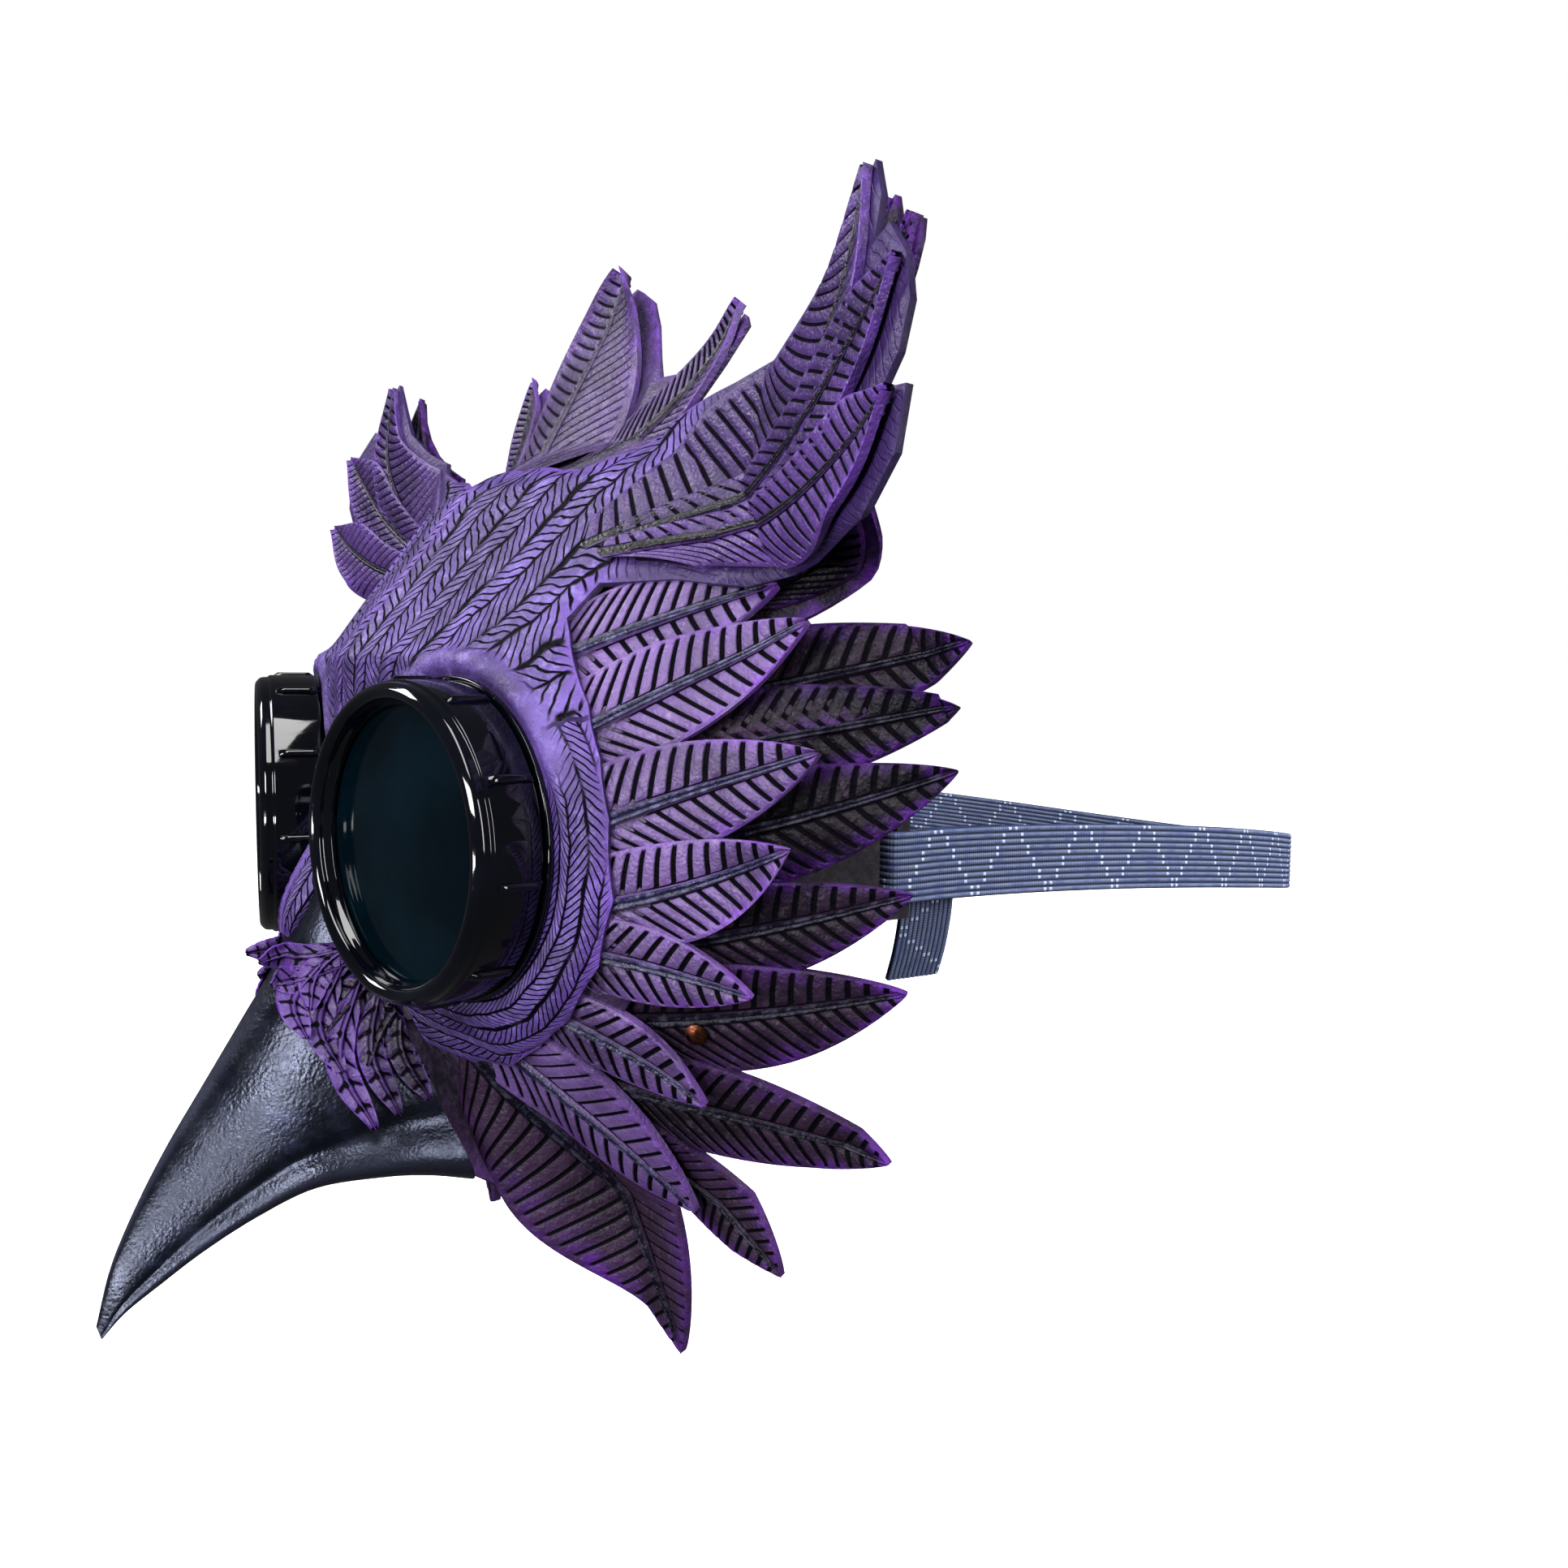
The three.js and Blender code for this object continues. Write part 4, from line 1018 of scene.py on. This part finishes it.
def lens(name, side, look):
    form, face = Form(), CAP_LEN - 4.9
    radii = np.linspace(0.01, 28.0, 16)
    front = [(r, face + 0.55 * (1 - (r / LENS_R) ** 2)) for r in radii]
    rim = [(LENS_R, face - 0.25), (LENS_R, face - 1.8), (LENS_R - 0.2, face - 2)]
    back = [(r, face - 2 + 0.3 * (1 - (r / LENS_R) ** 2)) for r in radii[::-1]]
    turned(form, side, front + rim + back, closed=False)
    form.make(f"lens_{name}_glass", look, [f"lens_{name}"], "lens_glass", body=f"lens_unit_{name}", sharp=40)


def gasket(name, side, look):
    form, top = Form(), CAP_LEN - 7.2
    turned(form, side, softened([(LENS_R, top - 1.2), (LENS_R, top), (25.6, top), (25.6, top - 1.2)], 0.4))
    form.make(f"lens_gasket_{name}_ring", look, [f"lens_gasket_{name}"], "gasket_rubber",
              body=f"lens_unit_{name}")


def eyecup(name, side, look):
    """Threaded sleeve with the flange that lies on the leather."""
    form = Form()
    r, crest_r, flange_r = SLEEVE_R, SLEEVE_R + 0.22, 32.7
    section = [(r, 7.3), (25.6, 7.3), (25.6, -17), (r, -17), (r, -0.1), (flange_r, 0.0), (flange_r, 1.2),
               (r, 1.25)]
    thread = []
    for t in np.arange(1.7, 6.6, 1.0):
        thread += [(r, t), (crest_r, t + 0.3), (crest_r, t + 0.55), (r, t + 0.85)]
    turned(form, side, np.vstack([softened(section, 0.35), thread]))
    form.make(f"eyecup_{name}_body", look, [f"eyecup_{name}"], "goggle_plastic", sharp=35)


def lock_ring(name, side, look):
    """Nut behind the leather, with six notches for a spanner."""
    form = Form()
    turn = circle(360)
    notch = ease(np.abs((turn / (pi / 3) + 0.5) % 1 - 0.5) * pi / 3 * 33, 1.8, 2.3)
    rows = []
    for r, t in softened([(33.4, -16.4), (33.4, -12.8), (28.8, -12.8), (28.8, -16.4)], 0.4):
        radius = np.where(r > 31, 31.6 + (r - 31.6) * notch, r)
        rows.append(np.stack([radius * np.cos(turn), radius * np.sin(turn), np.full_like(turn, t)], -1))
    rows.append(rows[0])
    form.add(on_eye(np.array(rows)), grid(len(rows), 360, closed=True), side)
    form.make(f"lock_ring_{name}_nut", look, [f"lock_ring_{name}"], "goggle_plastic", sharp=45)


# ---- lining, tabs, rivets, strap ----

LINING_EDGE = [
    (0, 68), (30, 70), (56, 66), (74, 54), (84, 34), (84, -20), (78, -38), (62, -52), (44, -58), (34, -56),
    (26, -44), (18, -30), (8, -10), (0, -6),
]
STRAP_WIDTH, STRAP_THICK, STRAP_Z, STRAP_SAG = 15.0, 1.4, -6.0, 0.0005
CORDS, ZIGZAG = 11, 21.0
STRAP_LINE = [
    (86.9, 124), (86.9, 102), (86.2, 99.6), (84.9, 97.5), (84.8, 94), (85.4, 92.6), (87.2, 92.2),
    (89.2, 92.6), (89.8, 94), (89.7, 99), (89, 110), (89, 150), (87, 185), (81, 215), (68, 245), (46, 270),
    (22, 281), (0, 284),
]


def face_lining(look):
    form = Form()
    for _, side in SIDES:
        sheet(form, side, LINING_EDGE, lining_depth, 2.4, hole=HOLE_R, edge_roll=0.4)
    form.make("face_lining_suede", look, ["face_lining"], "lining_leather", merge=0.01)


def softened_copy(node, name, look, width=0.35):
    """The node's own form with its edges rounded, as a new piece."""
    obj = new_object(name, bpy.data.objects[node].data.copy())
    obj.data.materials.clear()
    obj.data.materials.append(look)
    bevel = obj.modifiers.new("edges", "BEVEL")
    bevel.width, bevel.segments, bevel.limit_method, bevel.angle_limit = width * MM, 3, "ANGLE", radians(35)
    obj.data.shade_smooth()
    obj.data.set_sharp_from_angle(angle=radians(40))
    lay_over(obj, [node])


def elastic(form, side, line, centre, width, start=0.0, third_axis=2):
    """A ribbed band along a line in X and Y (or X and Z), its width along the third axis about centre."""
    v = np.linspace(0, 1, CORDS * 4 + 1)
    h = STRAP_THICK / 2 * (0.62 + 0.38 * np.abs(np.sin(pi * v * CORDS)))
    v, h = np.append(v, v[::-1]), np.append(h, -h[::-1])
    run = np.append(0, np.cumsum(np.linalg.norm(np.diff(line, axis=0), axis=1))) + start
    flat = line[:, None] + left_of(unit(np.gradient(line, axis=0)))[:, None] * h[:, None]
    parts = [flat[..., 0], flat[..., 1]]
    parts.insert(third_axis, np.broadcast_to(centre, len(line))[:, None] + (v - 0.5) * width)
    n = len(v)
    caps = [tuple(range(n)), tuple(range((len(line) - 1) * n, len(line) * n))[::-1]]
    form.add(np.stack(parts, -1), grid(len(line), n, closed=True) + caps, side,
             along=np.repeat(run, n), across=np.tile(v * STRAP_WIDTH, len(line)))


def strap(look):
    form = Form()
    whole = STRAP_LINE + [(-x, y) for x, y in STRAP_LINE[-2::-1]]
    line = curve_through(whole)(np.linspace(0, 1, 700))
    elastic(form, 1, line, STRAP_Z - STRAP_SAG * np.maximum(0, line[:, 1] - 98) ** 2, STRAP_WIDTH, 4.0)
    form.make("strap_band", look, ["strap"], "strap_elastic", sharp=80)


def strap_tail(name, side, look):
    form = Form()
    drop = curve_through([(0, 0), (-0.6, 8), (-2.4, 16), (-5, 23)])(np.linspace(0, 1, 50))
    line = np.stack([83.2 + drop[:, 0], -9 - drop[:, 1]], 1)
    elastic(form, side, line, 107.0, STRAP_WIDTH - 1, 9.0, third_axis=1)
    form.make(f"strap_tail_{name}_end", look, [f"strap_tail_{name}"], "strap_elastic", sharp=80)


REAR_RIVET = (88.5, -34.5)
TAB_RIVETS = ((82, -11), (82, 0))
TAB_THICK = 1.6
# radius and distance along the rivet
RIVET = [(1.0, -2.6), (1.0, -0.05), (2.0, 0.0), (2.2, 0.1), (2.2, 0.26), (2.05, 0.36), (1.85, 0.4),
         (1.65, 0.54), (1.2, 0.8), (0.7, 0.94), (0.25, 1.0), (0.01, 1.0)]


def rivet(node, side, depth, spot, lift, up, look):
    """A domed rivet with a rolled rim, square to a leather face; up is 1 for a head outside the mask."""
    x, z = np.array([spot[0]]), np.array([spot[1]])
    base, over = raised(depth, x, z, np.array([lift]))[0], raised(depth, x, z, np.array([lift + 1.0]))[0]
    normal = (over - base) * up
    across = unit(np.cross(normal, (0.3, 0.2, 0.9)))
    other = np.cross(normal, across)
    turn = circle(48)
    rows = [base + normal * t + r * (np.outer(np.cos(turn), across) + np.outer(np.sin(turn), other))
            for r, t in RIVET]
    form = Form()
    form.add(np.concatenate(rows), grid(len(RIVET), 48, closed=True), side)
    form.make(f"{node}_head", look, [node], "rivet_copper")


# ---- the whole ----

camera()
studio()
shoot_floor()

looks = {kind: feather_leather(f"{kind}_leather", *colours) for kind, colours in FEATHER_COLOURS.items()}
looks.update(brow=brow_leather(), beak=beak_leather(), plastic=goggle_plastic(), glass=lens_glass(),
             rubber=gasket_rubber(), lining=lining_leather(), copper=rivet_copper(), elastic=strap_elastic())

brow_mask(looks["brow"], looks["wing"])
crest(looks["crest"])
shell = beak(looks["beak"])
face_lining(looks["lining"])
strap(looks["elastic"])
for name, side in SIDES:
    feather_row(f"cheek_feathers_{name}", side, CHEEK, cheek_depth, looks["cheek"], "cheek_leather")
    feather_row(f"rear_feathers_{name}", side, REAR, rear_depth, looks["rear"], "rear_leather", rear_wing)
    fringe(f"nose_fringe_{name}", side, shell, looks["fringe"])
    screw_cap(name, side, looks["plastic"])
    lens(name, side, looks["glass"])
    gasket(name, side, looks["rubber"])
    eyecup(name, side, looks["plastic"])
    lock_ring(name, side, looks["plastic"])
    strap_tail(name, side, looks["elastic"])
    softened_copy(f"strap_tab_{name}", f"strap_tab_{name}_hide", looks["lining"])
    rivet(f"rear_rivet_{name}", side, rear_depth, REAR_RIVET, 0.8, 1, looks["copper"])
    for k, spot in enumerate(TAB_RIVETS, 1):
        rivet(f"tab_rivet_{name}_{k}", side, tab_depth, spot, -LEATHER - TAB_THICK, -1, looks["copper"])
